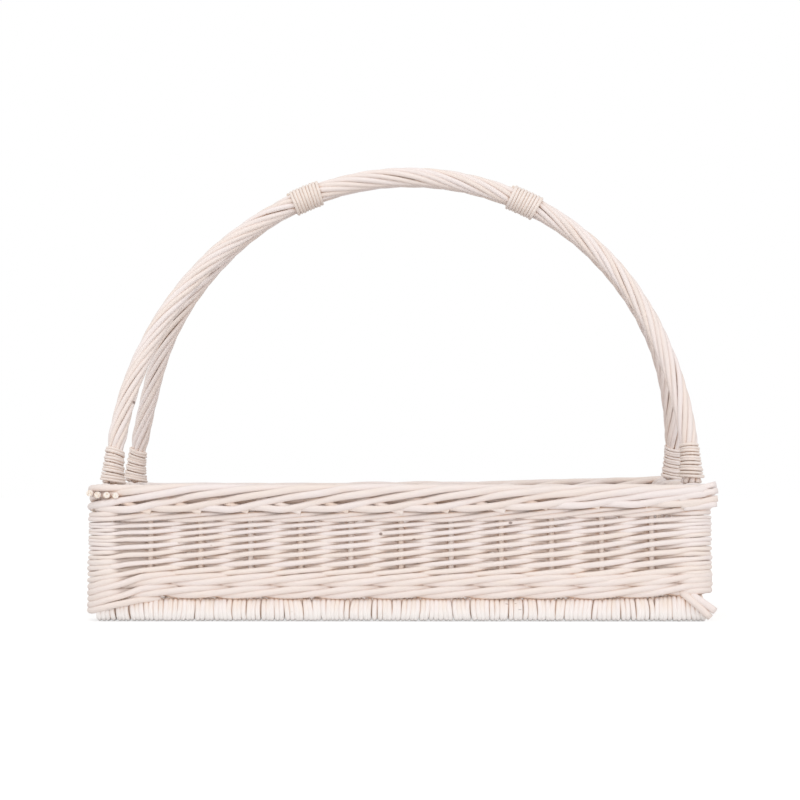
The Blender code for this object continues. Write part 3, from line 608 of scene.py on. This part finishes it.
sticks = [
    (f"edge_stick_{word}", f"base_{word}_edge_stick", side * EDGE_STICK_Y, EDGE_STICK_REACH, EDGE_STICK_RADIUS)
    for side, word in ((-1, "front"), (1, "back"))
] + [
    (f"inner_stick_{number}", f"base_inner_stick_{number}", y, INNER_STICK_REACH, INNER_STICK_RADIUS)
    for number, y in enumerate(INNER_STICK_YS, 1)
]
for name, node, y, reach, radius in sticks:
    line = straight_rod((-reach, y, BASE_MIDDLE), (reach, y, BASE_MIDDLE), radius)
    place_piece(draw_rods(name, [line], stick_finish, detail=4), "willow_stick", node)


# %% One base weaver
def flattened(value, power):
    """Bends a circle towards a square with round corners, as the wraps are pressed flat in front."""
    return math.copysign(abs(value) ** power, value)


def wrap_round(stick_y, first, last):
    """Points round an edge stick, from the first angle to the last, in degrees."""
    return [
        (stick_y + WRAP_RADIUS * flattened(math.cos(angle), 0.6), WRAP_RADIUS * flattened(math.sin(angle), 0.85))
        for angle in np.radians(np.linspace(first, last, 17))
    ]


def base_weaver(x, side, radius):
    """Round the front stick, over and under the inner ones and round the back stick. Side is 1 or -1."""
    rise = INNER_STICK_RADIUS + radius
    profile = wrap_round(-EDGE_STICK_Y, -50, -270)
    before = -EDGE_STICK_Y
    for number, y in enumerate(INNER_STICK_YS):
        up = -1 if number % 2 == 0 else 1
        profile.append(((before + y) / 2, 0.0))
        profile += [(y - HUMP_HALF, up * rise * 0.93), (y, up * rise), (y + HUMP_HALF, up * rise * 0.93)]
        before = y
    profile.append(((before + EDGE_STICK_Y) / 2, 0.0))
    line = np.array(profile + wrap_round(EDGE_STICK_Y, -90, 130))
    line[:, 1] *= side
    lean = 0.0005 * math.sin(x * 95) + 0.0005 * math.sin(x * 41 + 2) + jitter(0.00022)
    bow = 0.0006 * math.sin(x * 67 + 1) + jitter(0.00018)
    past_stake = (x + HALF_LENGTH + STAKE_PITCH / 2) % STAKE_PITCH - STAKE_PITCH / 2
    pushed = PUSH * math.copysign(math.exp(-((past_stake / PUSH_WIDTH) ** 2)), past_stake)
    share = line[:, 1] / WRAP_RADIUS
    edge = np.abs(line[:, 0]) > WRAPS_FROM_Y
    xs = x + edge * (lean * share + bow * (1 - share**2) + pushed * np.clip(share - 0.25, 0, 1))
    tall = WRAP_TALL + (line[:, 0] < 0) * np.interp(x, WRAP_RISE_XS, WRAP_RISES)
    line[:, 1] *= np.where(edge & (line[:, 1] > 0), tall, 1.0)
    return np.column_stack([xs, line[:, 0], BASE_MIDDLE + line[:, 1]]), np.full(len(line), radius)


weavers = []
for number in range(WEAVERS):
    x = -BASE_REACH + 2 * BASE_REACH * number / (WEAVERS - 1) + jitter(0.00038)
    thickness = 1 + float(np.clip(jitter(0.05), -0.1, 0.06))
    weavers.append(base_weaver(x, 1 if number % 2 == 0 else -1, WEAVER_RADIUS * thickness))
for x in (-END_ROD_X, END_ROD_X):
    for height in END_ROD_HEIGHTS:
        start, end = (x, -END_ROD_REACH, height), (x, END_ROD_REACH, height)
        weavers.append(straight_rod(start, end, END_ROD_RADIUS, steps=30, wander=0.0003))
base = draw_rods("base_weavers", weavers, base_finish, detail=2)
place_piece(base, "willow_base", "base_weave")

# %% [markdown]
# ## The wall
#
# Forty stakes stand up from the base. Two thick rows of waling, each of three rods that pass in front of two
# stakes and behind one, lock them. Then come seven rows of pairing, two thin rods that cross between all stakes,
# and a thinner wale under the border. Seen as a plan and a height, each rod is a slow twist round the stakes. The
# walls have even numbers of stakes between corners, so the two rods of a row change parts at every corner, and
# both pass outside it. At the front left the low rows sweep down to the tip of the corner.

# %% Heights and thicknesses of the rows, and how far each sweeps down at the front left
WALES = (
    ("wale_low_1", "lower_wale_1", {"middle": 0.02430, "radius": 0.00285, "step": 0.0025, "sweep": 0.0084}),
    ("wale_low_2", "lower_wale_2", {"middle": 0.03400, "radius": 0.00285, "step": 0.0025, "sweep": 0.0084}),
    ("wale_high", "upper_wale", {"middle": 0.08565, "radius": 0.00205, "step": 0.0019, "sweep": 0.0}),
)
PAIR_RADII = np.linspace(0.00232, 0.00175, 7)
PAIR_MIDDLES = (0.0414, 0.0482, 0.0552, 0.0617, 0.0677, 0.0733, 0.0785)
TOP_PAIR_PITCH = 0.0047
PAIR_SWEEPS = ((0.0062, 0.0046), (0.0032, 0.0022), (0.0013, 0.0006), (0.0003, 0), (0, 0), (0, 0), (0, 0))
BORDER_MIDDLE = 0.10048


# %% Waling
CORNER_OUTS = {0: 0.0093, 12: 0.0068, 20: 0.0068, 32: 0.0093}
CORNER_TURN = 0.22
SWEEP_PLACES = (-1.8, -1.2, -0.5, -0.2, 0, 0.2, 0.43, 0.85, 1.3, 2.0, 2.6)
SWEEP_SHARES = (0, 0.25, 0.85, 1, 0.85, 0.42, 0.30, -0.12, -0.15, -0.05, 0)


def from_front_left(interval):
    """How many intervals past the front left corner, from -20 to 20."""
    return (interval + ALL_INTERVALS / 2) % ALL_INTERVALS - ALL_INTERVALS / 2


def corner_sweep(intervals):
    """How far the rods have swept down to the front left corner's tip, from 0 to 1."""
    return np.interp(from_front_left(intervals), SWEEP_PLACES, SWEEP_SHARES)


def wale_rod(middle, radius, step, sweep):
    """In front of two stakes and behind the third, three times round as one endless rod."""
    front = STAKE_RADIUS + radius
    round_three = (
        (0, front, -step), (1, front, step), (1.5, front * 0.2, step * 1.25), (2, -front, 0),
        (2.5, front * 0.3, -step * 1.25),
    )
    stations = []
    for start in range(0, 3 * ALL_INTERVALS, 3):
        for past, out, up in round_three:
            place = start + past
            turning = place % ALL_INTERVALS in CORNERS and out > 0
            reach = CORNER_OUTS[place % ALL_INTERVALS] - 0.0004 if turning else out
            for shift in (-CORNER_TURN, 0, CORNER_TURN) if turning else (0,):
                stations.append((
                    place + shift, reach + jitter(0.00012),
                    middle + up + shift * step + jitter(0.0002), radius * (1 + jitter(0.03)),
                ))
    line = smooth(stations, 12, 3 * ALL_INTERVALS)
    line[:, 2] -= sweep * corner_sweep(line[:, 0])
    return round_wall(line)


for name, node, sizes in WALES:
    place_piece(draw_rods(name, [wale_rod(**sizes)], wale_finish, closed=True), "willow_wale", node)


# %% Pairing
TIGHT_SHARE, TIGHT_SHARE_AT_TIP = 0.262, 0.33
SPREAD_THICKER = 0.17


def pair_rod(rod, row):
    """One of the two rods of a row, wall by wall. Where it comes out at a corner, it is the lower one there."""
    middle, radius = PAIR_MIDDLES[row], PAIR_RADII[row]
    pitch = PAIR_MIDDLES[row + 1] - middle if row < 6 else TOP_PAIR_PITCH
    front = STAKE_RADIUS + radius
    half, slot, quarter = pitch * 0.33, pitch * 0.50, pitch * 0.25
    rows = []
    for wall, start in enumerate(CORNERS):
        count = LONG_INTERVALS if wall % 2 == 0 else SHORT_INTERVALS
        comes_out = (wall + rod) % 2 == 0
        out = CORNER_OUTS[start]
        tight = pitch * (TIGHT_SHARE_AT_TIP if wall == 0 and row < 2 else TIGHT_SHARE)
        if comes_out:
            ups, after = (-1.1 * quarter, -quarter, -quarter), tight
        else:
            ups, after = (0.9 * quarter, quarter, quarter), tight * 1.1
        for shift, up, size in zip((-CORNER_TURN, 0, CORNER_TURN), ups, (tight, tight, after)):
            rows.append((start + shift, out, up, size))
        if comes_out:
            rows.append((start + 0.5, front * 1.15, -0.5 * quarter, radius))
        else:
            rows.append((start + 0.38, front * 0.2, quarter, radius))
            rows.append((start + 0.80, -front * 0.8, 1.3 * quarter, radius))
        for past in range(1, count):
            place = start + past
            outside = (past % 2 == 1) == comes_out
            rows.append((place, front if outside else -front, 0, radius))
            if outside and past == count - 1:
                rows.append((place + 0.5, front * 1.15, 0.5 * quarter, radius))
            elif outside:
                rows += [(place + 0.5, front * 0.40, half, radius), (place + 0.84, -front * 0.6, slot, radius)]
            else:
                rows += [(place + 0.16, -front * 0.6, -slot, radius), (place + 0.5, front * 0.40, -half, radius)]
    stations = [
        (place, out + jitter(0.00013), middle + up + jitter(0.00018), size * (1 + jitter(0.04)))
        for place, out, up, size in rows
    ]
    line = smooth(stations, 16, ALL_INTERVALS)
    line[:, 2] -= PAIR_SWEEPS[row][rod] * corner_sweep(line[:, 0])
    line[:, 3] *= 1 + SPREAD_THICKER * spread_share(line[:, 0])
    return round_wall(line)


for row in range(7):
    for rod, letter in ((1, "a"), (0, "b")):
        drawn = draw_rods(f"pairing_{row + 1}_{letter}", [pair_rod(rod, row)], weaver_finish, closed=True, detail=2)
        place_piece(drawn, "willow_weaver", f"pairing_row_{row + 1}_rod_{letter}")


# %% Stakes
CORNER_STAKE_RADIUS = 0.0032
CORNER_STAKE_INSET = 0.0014
STAKE_FOOT = 0.013
STAKE_HEIGHTS = (0.03, 0.05, 0.07, 0.086)
STAKE_SWELL = 1.12
STAKE_TIP = (
    (0.06, 0.0008, 0.0950, 0.0023), (0.24, 0.0040, 0.0992, 0.0025), (0.46, 0.0058, 0.0978, 0.0026),
    (0.72, 0.0062, 0.0938, 0.0026),
)
BOW_STAKES = (14, 18, 34, 38)


def stake(interval):
    """Up through the weave, out between the border's rods and down to the right, where it is cut off."""
    corner = interval in CORNERS
    radius = CORNER_STAKE_RADIUS if corner else STAKE_RADIUS
    inset = -CORNER_STAKE_INSET if corner else 0.0
    rows = [(0, inset, STAKE_FOOT, radius)]
    rows += [(0, inset + jitter(0.0001), height, radius * STAKE_SWELL) for height in STAKE_HEIGHTS]
    end = 0.90 + abs(jitter(0.12))
    bent, _, down, thick = STAKE_TIP[-1]
    rows = np.array([*rows, *STAKE_TIP, (end, 0.0064, down - (end - bent) * 0.0145, thick)])
    fine = []
    for a, b, c, d in zip(np.vstack([rows[:1], rows]), rows, rows[1:], np.vstack([rows[2:], rows[-1:]])):
        for t in np.arange(6) / 6:
            squared = 2 * b + (c - a) * t + (2 * a - 5 * b + 4 * c - d) * t**2
            fine.append(0.5 * (squared + (3 * b - a - 3 * c + d) * t**3))
    return round_wall(np.array([*fine, rows[-1]]) + (interval, 0, 0, 0))


for wall, word in enumerate(("front", "right", "back", "left")):
    first, last = CORNERS[wall], WALL_ENDS[wall]
    places = range(first, last + 1) if wall % 2 == 0 else range(first + 1, last)
    rods = [stake(interval) for interval in places if interval not in BOW_STAKES]
    place_piece(draw_rods(f"stakes_{word}_rods", rods, stake_finish, detail=2), "willow_stake", f"stakes_{word}")

# %% [markdown]
# ## The border
#
# The stakes' tips turn down along the wall, and strands are rolled round the run that they make. A strand climbs
# the outside over some three intervals, goes over the top, falls inside and is cut off there. All forty follow
# the same line, each one interval behind the last, so the line is written down once. Some rods end outside the
# roll: four in a row at the front left corner, where the roll has a hollow for them, and five splayed ones at the
# front right.

# %% Border strands
BORDER_RADIUS = 0.00296
BORDER_REACH = 0.0127
RUN_RADIUS = 0.0042
TIP_ZONE, TIP_OUT = 0.6, 0.0090
HOLLOW_DEPTH, HOLLOW_PLACE, HOLLOW_HEIGHT = 0.0058, 0.15, 0.1037
BORDER_LINE = (
    (0.05, -0.0050, -0.0084, 0.92), (0.55, -0.0020, -0.0084, 0.94), (0.95, 0.0052, -0.0076, 0.96),
    (1.25, 0.0088, -0.0080, 1.0), (1.65, 0.0093, -0.0082, 1.0), (2.10, 0.0091, -0.0048, 1.0),
    (2.45, 0.0079, -0.0018, 0.97), (2.85, 0.0091, 0.0014, 1.0), (3.40, 0.0093, 0.0048, 1.0),
    (3.95, 0.0084, 0.0080, 1.0), (4.60, 0.0032, 0.0088, 0.98), (5.30, -0.0040, 0.0084, 0.96),
    (6.00, -0.0092, 0.0040, 0.94), (6.70, -0.0100, -0.0018, 0.9), (7.50, -0.0092, -0.0078, 0.87),
)


def hump(places, middle, width, power=2):
    """A soft hill, 1 high, round the middle. A higher power gives it a flatter top and steeper sides."""
    return np.exp(-(((places - middle) / width) ** power))


def border_strand(start):
    stations = []
    for past, out, up, share in BORDER_LINE:
        place = start + past
        if abs(from_front_left(place)) < TIP_ZONE:
            out = min(out, TIP_OUT)
        out, up = out + jitter(0.00025), BORDER_MIDDLE + up + jitter(0.00035)
        stations.append((place, out, up, BORDER_RADIUS * share * (1 + jitter(0.025))))
    line = smooth(stations, 12)
    hollow = hump(from_front_left(line[:, 0]), HOLLOW_PLACE, 0.38, power=4) * hump(line[:, 2], HOLLOW_HEIGHT, 0.0034)
    line[:, 1] -= HOLLOW_DEPTH * hollow * (line[:, 1] > 0)
    line[:, 1] = np.clip(line[:, 1], line[:, 3] - BORDER_REACH, BORDER_REACH - line[:, 3])
    return round_wall(line)


def run_inside():
    """The run of stakes' tips in the middle of the roll, which keeps light from shining through it."""
    places = np.linspace(0, ALL_INTERVALS, 12 * ALL_INTERVALS + 1)
    return round_wall(np.array([(place, 0, BORDER_MIDDLE, RUN_RADIUS) for place in places]))


# %% Cut ends that poke out of the border
LEFT_ENDS = (
    (-0.2538, 0.1050, 0.0026), (-0.2474, 0.1036, 0.0027), (-0.2398, 0.1034, 0.0026), (-0.2326, 0.1030, 0.0024),
)
RIGHT_ENDS = (
    ((0.222, -0.1690, 0.1030), (0.2570, -0.1690, 0.1122), 0.0025),
    ((0.226, -0.1725, 0.0995), (0.2580, -0.1705, 0.1075), 0.0026),
    ((0.224, -0.1715, 0.1010), (0.2545, -0.1660, 0.1100), 0.0024),
    ((0.228, -0.1728, 0.0940), (0.2580, -0.1712, 0.1008), 0.0027),
    ((0.230, -0.1722, 0.0925), (0.2572, -0.1716, 0.0960), 0.0025),
)


def end_rods():
    """Those at the left point to the front, those at the right point past the corner."""
    rods = [
        straight_rod((x + 0.001, -0.150, height - 0.001), (x, -0.1762, height), radius, steps=8)
        for x, height, radius in LEFT_ENDS
    ]
    return rods + [straight_rod(start, end, radius, steps=8, wander=0.0002) for start, end, radius in RIGHT_ENDS]


for number in range(8):
    rods = [border_strand(start) for start in range(number, ALL_INTERVALS, 8)]
    if number == 0:
        rods += [run_inside(), *end_rods()]
    drawn = draw_rods(f"border_rods_{number + 1}", rods, border_finish)
    place_piece(drawn, "willow_border", f"border_strand_{number + 1}")

# %% [markdown]
# ## The corner rods
#
# Thick rods lash the bottom corners. At the front left one sweeps down from the waling to the corner's tip and
# runs on round it. At the front right two of them cross the corner and end there, cut off. The back corners have
# the same, turned about.

# %% Corner rods
CORNER_WORDS = {0: "front_left", 12: "front_right", 20: "back_right", 32: "back_left"}
SWEPT_LINE = (
    (-1.3, 0.0030, 0.0150, 0.0025), (-0.9, 0.0072, 0.0120, 0.0027), (-0.5, 0.0088, 0.0095, 0.0028),
    (-0.2, 0.0093, 0.0088, 0.0028), (0, 0.0093, 0.0096, 0.0028), (0.2, 0.0093, 0.0128, 0.0028),
    (0.45, 0.0086, 0.0150, 0.0028), (0.8, 0.0060, 0.0178, 0.0027), (1.2, 0.0015, 0.0190, 0.0025),
)


def swept_rod(corner):
    """From under the waling down to the corner's tip and round it."""
    return [round_wall(smooth([(corner + past, *rest) for past, *rest in SWEPT_LINE], 12))]


def crossing_pair(corner):
    """From under the waling across the corner of the base. Drawn at the back right and turned to the corner."""
    turned = np.array((1, -1, 1) if corner == 12 else (-1, 1, 1))
    share = np.linspace(0, 1, 14)[:, None]
    rods = []
    for shift, tip_x, tip_z in ((0.0, 0.2515, 0.0040), (0.0062, 0.2555, 0.0092)):
        start, upper = (0.2270 + shift, 0.1630, 0.0262), (0.2310 + shift, 0.1735, 0.0215)
        lower, tip = (0.2400 + shift, 0.1748, 0.0160), (tip_x, 0.1732, tip_z)
        line = (1 - share) ** 3 * np.array(start) + 3 * share * (1 - share) ** 2 * np.array(upper)
        line += 3 * share**2 * (1 - share) * np.array(lower) + share**3 * np.array(tip)
        rods.append((line * turned, np.linspace(0.0030, 0.0029, 14)))
    return rods


for corner, word in CORNER_WORDS.items():
    rods = swept_rod(corner) if corner in (0, 20) else crossing_pair(corner)
    place_piece(draw_rods(f"corner_rods_{word}", rods, wale_finish, detail=4), "willow_wale", f"corner_rod_{word}")

# %% [markdown]
# ## The handle
#
# Two stout rods stand in the end walls as stakes and bend over to meet at the top. Eight thinner rods of mixed
# thickness are twisted round each, like a rope, so that no core shows. Cane binds each leg where it leaves the
# border, and two wider bindings hold the bows side by side for the hand. The bows are half ellipses, drawn
# together towards the top. Being bent by hand, they lean a little to the right and are fuller at that shoulder,
# and the back bow's legs stand a little further to the right than the front one's.

# %% The bows' lines
BOW_FOOT = 0.11238
BOW_RISE = 0.2692
ROPE_RADIUS = 0.0081
BOW_SIDE_GAP = 0.0004
BOW_APART = 2 * STAKE_PITCH
GRIP_LEFT, GRIP_RIGHT = 0.085, 0.107
PAST_GRIP = 0.026
LEFT_TOGETHER = math.acos((GRIP_LEFT + PAST_GRIP) / HALF_LENGTH)
RIGHT_TOGETHER = math.acos((GRIP_RIGHT + PAST_GRIP) / HALF_LENGTH)
BOW_LEAN = 0.0042
FULL_SHOULDER = 0.0045
BACK_LEG_RIGHT, BACK_LEG_LEFT = 0.0064, 0.0040


def drawn_apart(share):
    """Falls from 1 at the border to 0 where the bows meet, level at both ends."""
    blend = 0.14
    straight = 1 - blend
    return np.where(
        share < blend, 1 - share**2 / (2 * blend * straight),
        np.where(share < straight, 1 - (share - blend / 2) / straight,
                 np.where(share < 1, (1 - share) ** 2 / (2 * blend * straight), 0.0)),
    )


def bow_line(side):
    """Points along a bow, with the length up to each of them. Side is -1 in front, 1 behind, 0 between the two."""
    angles = np.linspace(0, math.pi, 3001)
    share = np.where(angles < math.pi / 2, angles / LEFT_TOGETHER, (math.pi - angles) / RIGHT_TOGETHER)
    together = ROPE_RADIUS + BOW_SIDE_GAP / 2
    ys = side * (together + (BOW_APART - together) * drawn_apart(share))
    swayed = BOW_LEAN * np.sin(angles)
    if side > 0:
        swayed += BACK_LEG_RIGHT * hump(angles, 2.68, 0.33) + BACK_LEG_LEFT * hump(angles, 0.26, 0.20)
    swelled = FULL_SHOULDER * hump(angles, 2.3, 0.4)
    xs = swayed - (HALF_LENGTH + swelled) * np.cos(angles)
    points = np.column_stack([xs, ys, BOW_FOOT + (BOW_RISE + swelled) * np.sin(angles)])
    lengths = np.concatenate([[0], np.cumsum(np.linalg.norm(np.diff(points, axis=0), axis=1))])
    return points, lengths


def unit(rows):
    return rows / np.linalg.norm(rows, axis=1)[:, None]


def in_between(places, known, rows):
    return np.column_stack([np.interp(places, known, column) for column in rows.T])


def bow_frames(side, places):
    """The bow's points at these lengths along it, and its directions there: along, out of the arch and across."""
    points, lengths = bow_line(side)
    fine = np.linspace(0, lengths[-1], 4000)
    line = in_between(fine, lengths, points)
    along = unit(np.gradient(line, axis=0))
    outward = unit(np.cross(along, (0, 1, 0)))
    return [in_between(places, fine, rows) for rows in (line, along, outward, np.cross(outward, along))]


def wound(frames, angle, away):
    """Points that lie this far from a bow's middle, at these angles round it."""
    centre, _, outward, across = frames
    return centre + (outward * np.cos(angle)[:, None] + across * np.sin(angle)[:, None]) * away[:, None]


BOWS = (("front", -1), ("back", 1))
bow_length = bow_line(-1)[1][-1]
print("a bow is", round(bow_length, 3), "m long")

# %% Twisted strands
ROPE_TURNS = 5.5
STRAND_CENTRE = 0.00570
STRAND_RADIUS = 0.00227
STRAND_SHARES = (1.10, 0.90, 1.06, 0.92, 1.10, 0.96, 1.02, 0.94)
CANE_TO, CANE_FADE, FOOT_TO = 0.041, 0.013, 0.011


def squeezed(lengths):
    """How tightly the cane holds the strands at these lengths along the bow: 1 under it, below 0 at the foot, where
    they spread, and 0 elsewhere."""
    from_end = np.minimum(lengths, bow_length - lengths)
    held = np.clip((CANE_TO - from_end) / CANE_FADE, 0, 1)
    foot = np.clip((FOOT_TO - from_end) / FOOT_TO, 0, 1)
    return held**2 * (3 - 2 * held) - 2.2 * foot**2


def strand(side, place):
    lengths = np.linspace(0, bow_length, 300)
    wobble = sum(jitter(0.055) * np.sin(lengths * way + chance.random() * 6) for way in (14, 31, 55))
    angle = 2 * math.pi * (place / 8 - ROPE_TURNS * lengths / bow_length) + wobble
    tight = squeezed(lengths)
    uneven = 1 + 0.035 * np.sin(lengths * 23 + chance.random() * 6) + jitter(0.03)
    radius = STRAND_RADIUS * STRAND_SHARES[place] * uneven * (1 - 0.14 * np.clip(tight, 0, 1))
    away = STRAND_CENTRE * (1 - 0.21 * tight) + (STRAND_RADIUS - radius) * 0.6
    return wound(bow_frames(side, lengths), angle, away), radius


for word, side in BOWS:
    for pair in range(4):
        rods = [strand(side, 2 * pair), strand(side, 2 * pair + 1)]
        piece = draw_rods(f"handle_{word}_strands_{pair + 1}", rods, handle_finish)
        place_piece(piece, "willow_handle", f"bow_{word}_strands_{pair + 1}")

# %% The rod inside each bow
FOOT_HEIGHTS = (0.016, 0.04, 0.07, 0.10)
FOOT_RADIUS, NECK_RADIUS, CORE_RADIUS = 0.0021, 0.0024, 0.0034

for word, side in BOWS:
    centre = bow_frames(side, np.linspace(0, bow_length, 160))[0]
    left_foot = [centre[0] * (1, 1, 0) + (0, 0, height) for height in FOOT_HEIGHTS]
    right_foot = [centre[-1] * (1, 1, 0) + (0, 0, height) for height in reversed(FOOT_HEIGHTS)]
    line = np.vstack([left_foot, centre, right_foot])
    thickening = [FOOT_RADIUS] * len(FOOT_HEIGHTS) + list(np.linspace(NECK_RADIUS, CORE_RADIUS, 6))
    middle = [CORE_RADIUS] * (len(line) - 2 * len(thickening))
    radii = np.array([*thickening, *middle, *reversed(thickening)])
    piece = draw_rods(f"handle_{word}_rod", [(line, radii)], stick_finish)
    place_piece(piece, "willow_stick", f"bow_{word}_rod")

# %% [markdown]
# ### Bindings
#
# Split cane is wound round each leg in some eleven tight turns, wider at the foot where the strands spread, and
# round both bows at the top in nine turns. Each binding is one unbroken rod wound turn after turn.

# %% Cane round each leg
LEG_WRAP_LENGTH, LEG_TURNS, LEG_CANE_RADIUS = 0.0285, 11, 0.00124
LEG_WRAP_RADIUS, WIDER_AT_FOOT = 0.0073, 0.0030
LEG_WRAP_STARTS = {"front": (("left", 0.0002), ("right", 0.0046)), "back": (("left", 0.0002), ("right", 0.0010))}


def leg_binding(side, at_left, start):
    share = np.linspace(0, 1, LEG_TURNS * 28 + 1)
    places = start + LEG_WRAP_LENGTH * share
    frames = bow_frames(side, places if at_left else bow_length - places)
    angle = 2 * math.pi * LEG_TURNS * share * (-1 if not at_left and side > 0 else 1) + 1.2
    spread = LEG_WRAP_RADIUS + WIDER_AT_FOOT * (1 - share) ** 2.2 + 0.0003 * np.sin(share * 31 + side)
    tilt = 0.0010 * np.cos(angle + 0.4) + 0.0003 * np.sin(share * 23)
    radii = LEG_CANE_RADIUS * (1 + 0.15 * np.sin(share * 37 + chance.random() * 6))
    return wound(frames, angle, spread) + frames[1] * tilt[:, None], radii


for word, side in BOWS:
    for end, start in LEG_WRAP_STARTS[word]:
        piece = draw_rods(f"leg_cane_{word}_{end}", [leg_binding(side, end == "left", start)], cane_finish)
        place_piece(piece, "cane_binding", f"leg_binding_{word}_{end}")

# %% Cane round both bows
GRIP_WRAP_LENGTH, GRIP_TURNS, GRIP_CANE_RADIUS = 0.0262, 9, 0.00152


def grip_binding(middle_x):
    """Winds round both bows: half a circle round each, and straight across between them."""
    points, lengths = bow_line(0)
    middle = np.interp(middle_x, points[:, 0], lengths)
    share = np.linspace(0, 1, GRIP_TURNS * 40 + 1)
    centre, _, outward, across = bow_frames(0, middle + GRIP_WRAP_LENGTH * (share - 0.5))
    angle = 2 * math.pi * GRIP_TURNS * share
    round_bow = ROPE_RADIUS + GRIP_CANE_RADIUS * 0.8
    out = round_bow * np.cos(angle)
    aside = round_bow * np.sin(angle) + (ROPE_RADIUS + BOW_SIDE_GAP / 2) * np.clip(np.sin(angle) * 3, -1, 1)
    radii = GRIP_CANE_RADIUS * (1 + 0.12 * np.sin(share * 23 + chance.random() * 6))
    return centre + outward * out[:, None] + across * aside[:, None], radii


for word, middle_x in (("left", -GRIP_LEFT), ("right", GRIP_RIGHT)):
    piece = draw_rods(f"grip_cane_{word}", [grip_binding(middle_x)], cane_finish)
    place_piece(piece, "cane_binding", f"grip_binding_{word}")

# %% [markdown]
# ## Where the brush and the light reached
#
# The gaps between the rods are brown, partly because in the real basket the paint never got there, and partly as
# painted shade, since little light gets into them. To know these places, the space round the basket is cut into
# small cells, and each cell counts how much willow is in and near it. A point of a rod that faces a crowded cell is
# sheltered and keeps the wood's brown, as unpainted wood and painted shade, and one that faces open air is painted.

# %% How much willow each cell holds
CELL = 0.0016
ROOM = 0.012
WILLOW_DEPTHS = (0.0004, 0.0014)
SPREADING = ((-2, 0.5), (-1, 1), (0, 1), (1, 1), (2, 0.5))


def vertex_data(piece):
    """The places of a piece's points and the directions that its surface faces there."""
    found = np.empty((2, len(piece.data.vertices) * 3), np.float32)
    piece.data.vertices.foreach_get("co", found[0])
    piece.data.vertex_normals.foreach_get("vector", found[1])
    return found.reshape(2, -1, 3)


low, high = (np.array(corner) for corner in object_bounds())
low = low - ROOM
size = np.ceil((high + ROOM - low) / CELL).astype(int)
crowd = np.zeros(size, np.float32)
for piece in pieces:
    places, normals = vertex_data(piece)
    for depth in WILLOW_DEPTHS:
        cells = ((places - normals * depth - low) / CELL).astype(int)
        crowd[tuple(cells.T)] = 1
for axis in range(3):
    total = np.zeros_like(crowd)
    for step, weight in SPREADING:
        total += weight * np.roll(crowd, step, axis)
    crowd = total / 4
print("cells:", [int(count) for count in size], "of which with willow in or near them:", int((crowd > 0).sum()))

# %% What the brush and the light reach
FACING_DISTANCES = (0.0030, 0.0055)
OPEN_AIR, CROWDING_TELLS = 1.15, 1.9
LEAST_ON_STAKES, LEAST_ON_BASE = 0.9, 0.15

for piece in pieces:
    places, normals = vertex_data(piece)
    found = np.zeros(len(places))
    for out in FACING_DISTANCES:
        cells = ((places + normals * out - low) / CELL).astype(int)
        found += crowd[tuple(np.clip(cells, 0, size - 1).T)] / len(FACING_DISTANCES)
    reach = piece.data.attributes.new("brush_and_light_reach", "FLOAT", "POINT")
    least = LEAST_ON_STAKES if piece.name.startswith("stakes") else LEAST_ON_BASE if piece is base else 0
    # Low values give the gaps their brown: unpainted wood, and painted shade where the rods crowd.
    painted = np.clip(OPEN_AIR - CROWDING_TELLS * found, least, 1)
    reach.data.foreach_set("value", painted.astype(np.float32))
    if piece.name in ("pairing_3_a", "base_weavers", "border_rods_1", "wale_low_1"):
        print(piece.name, "crowding", np.percentile(found, (5, 25, 50, 75, 95)).round(2))
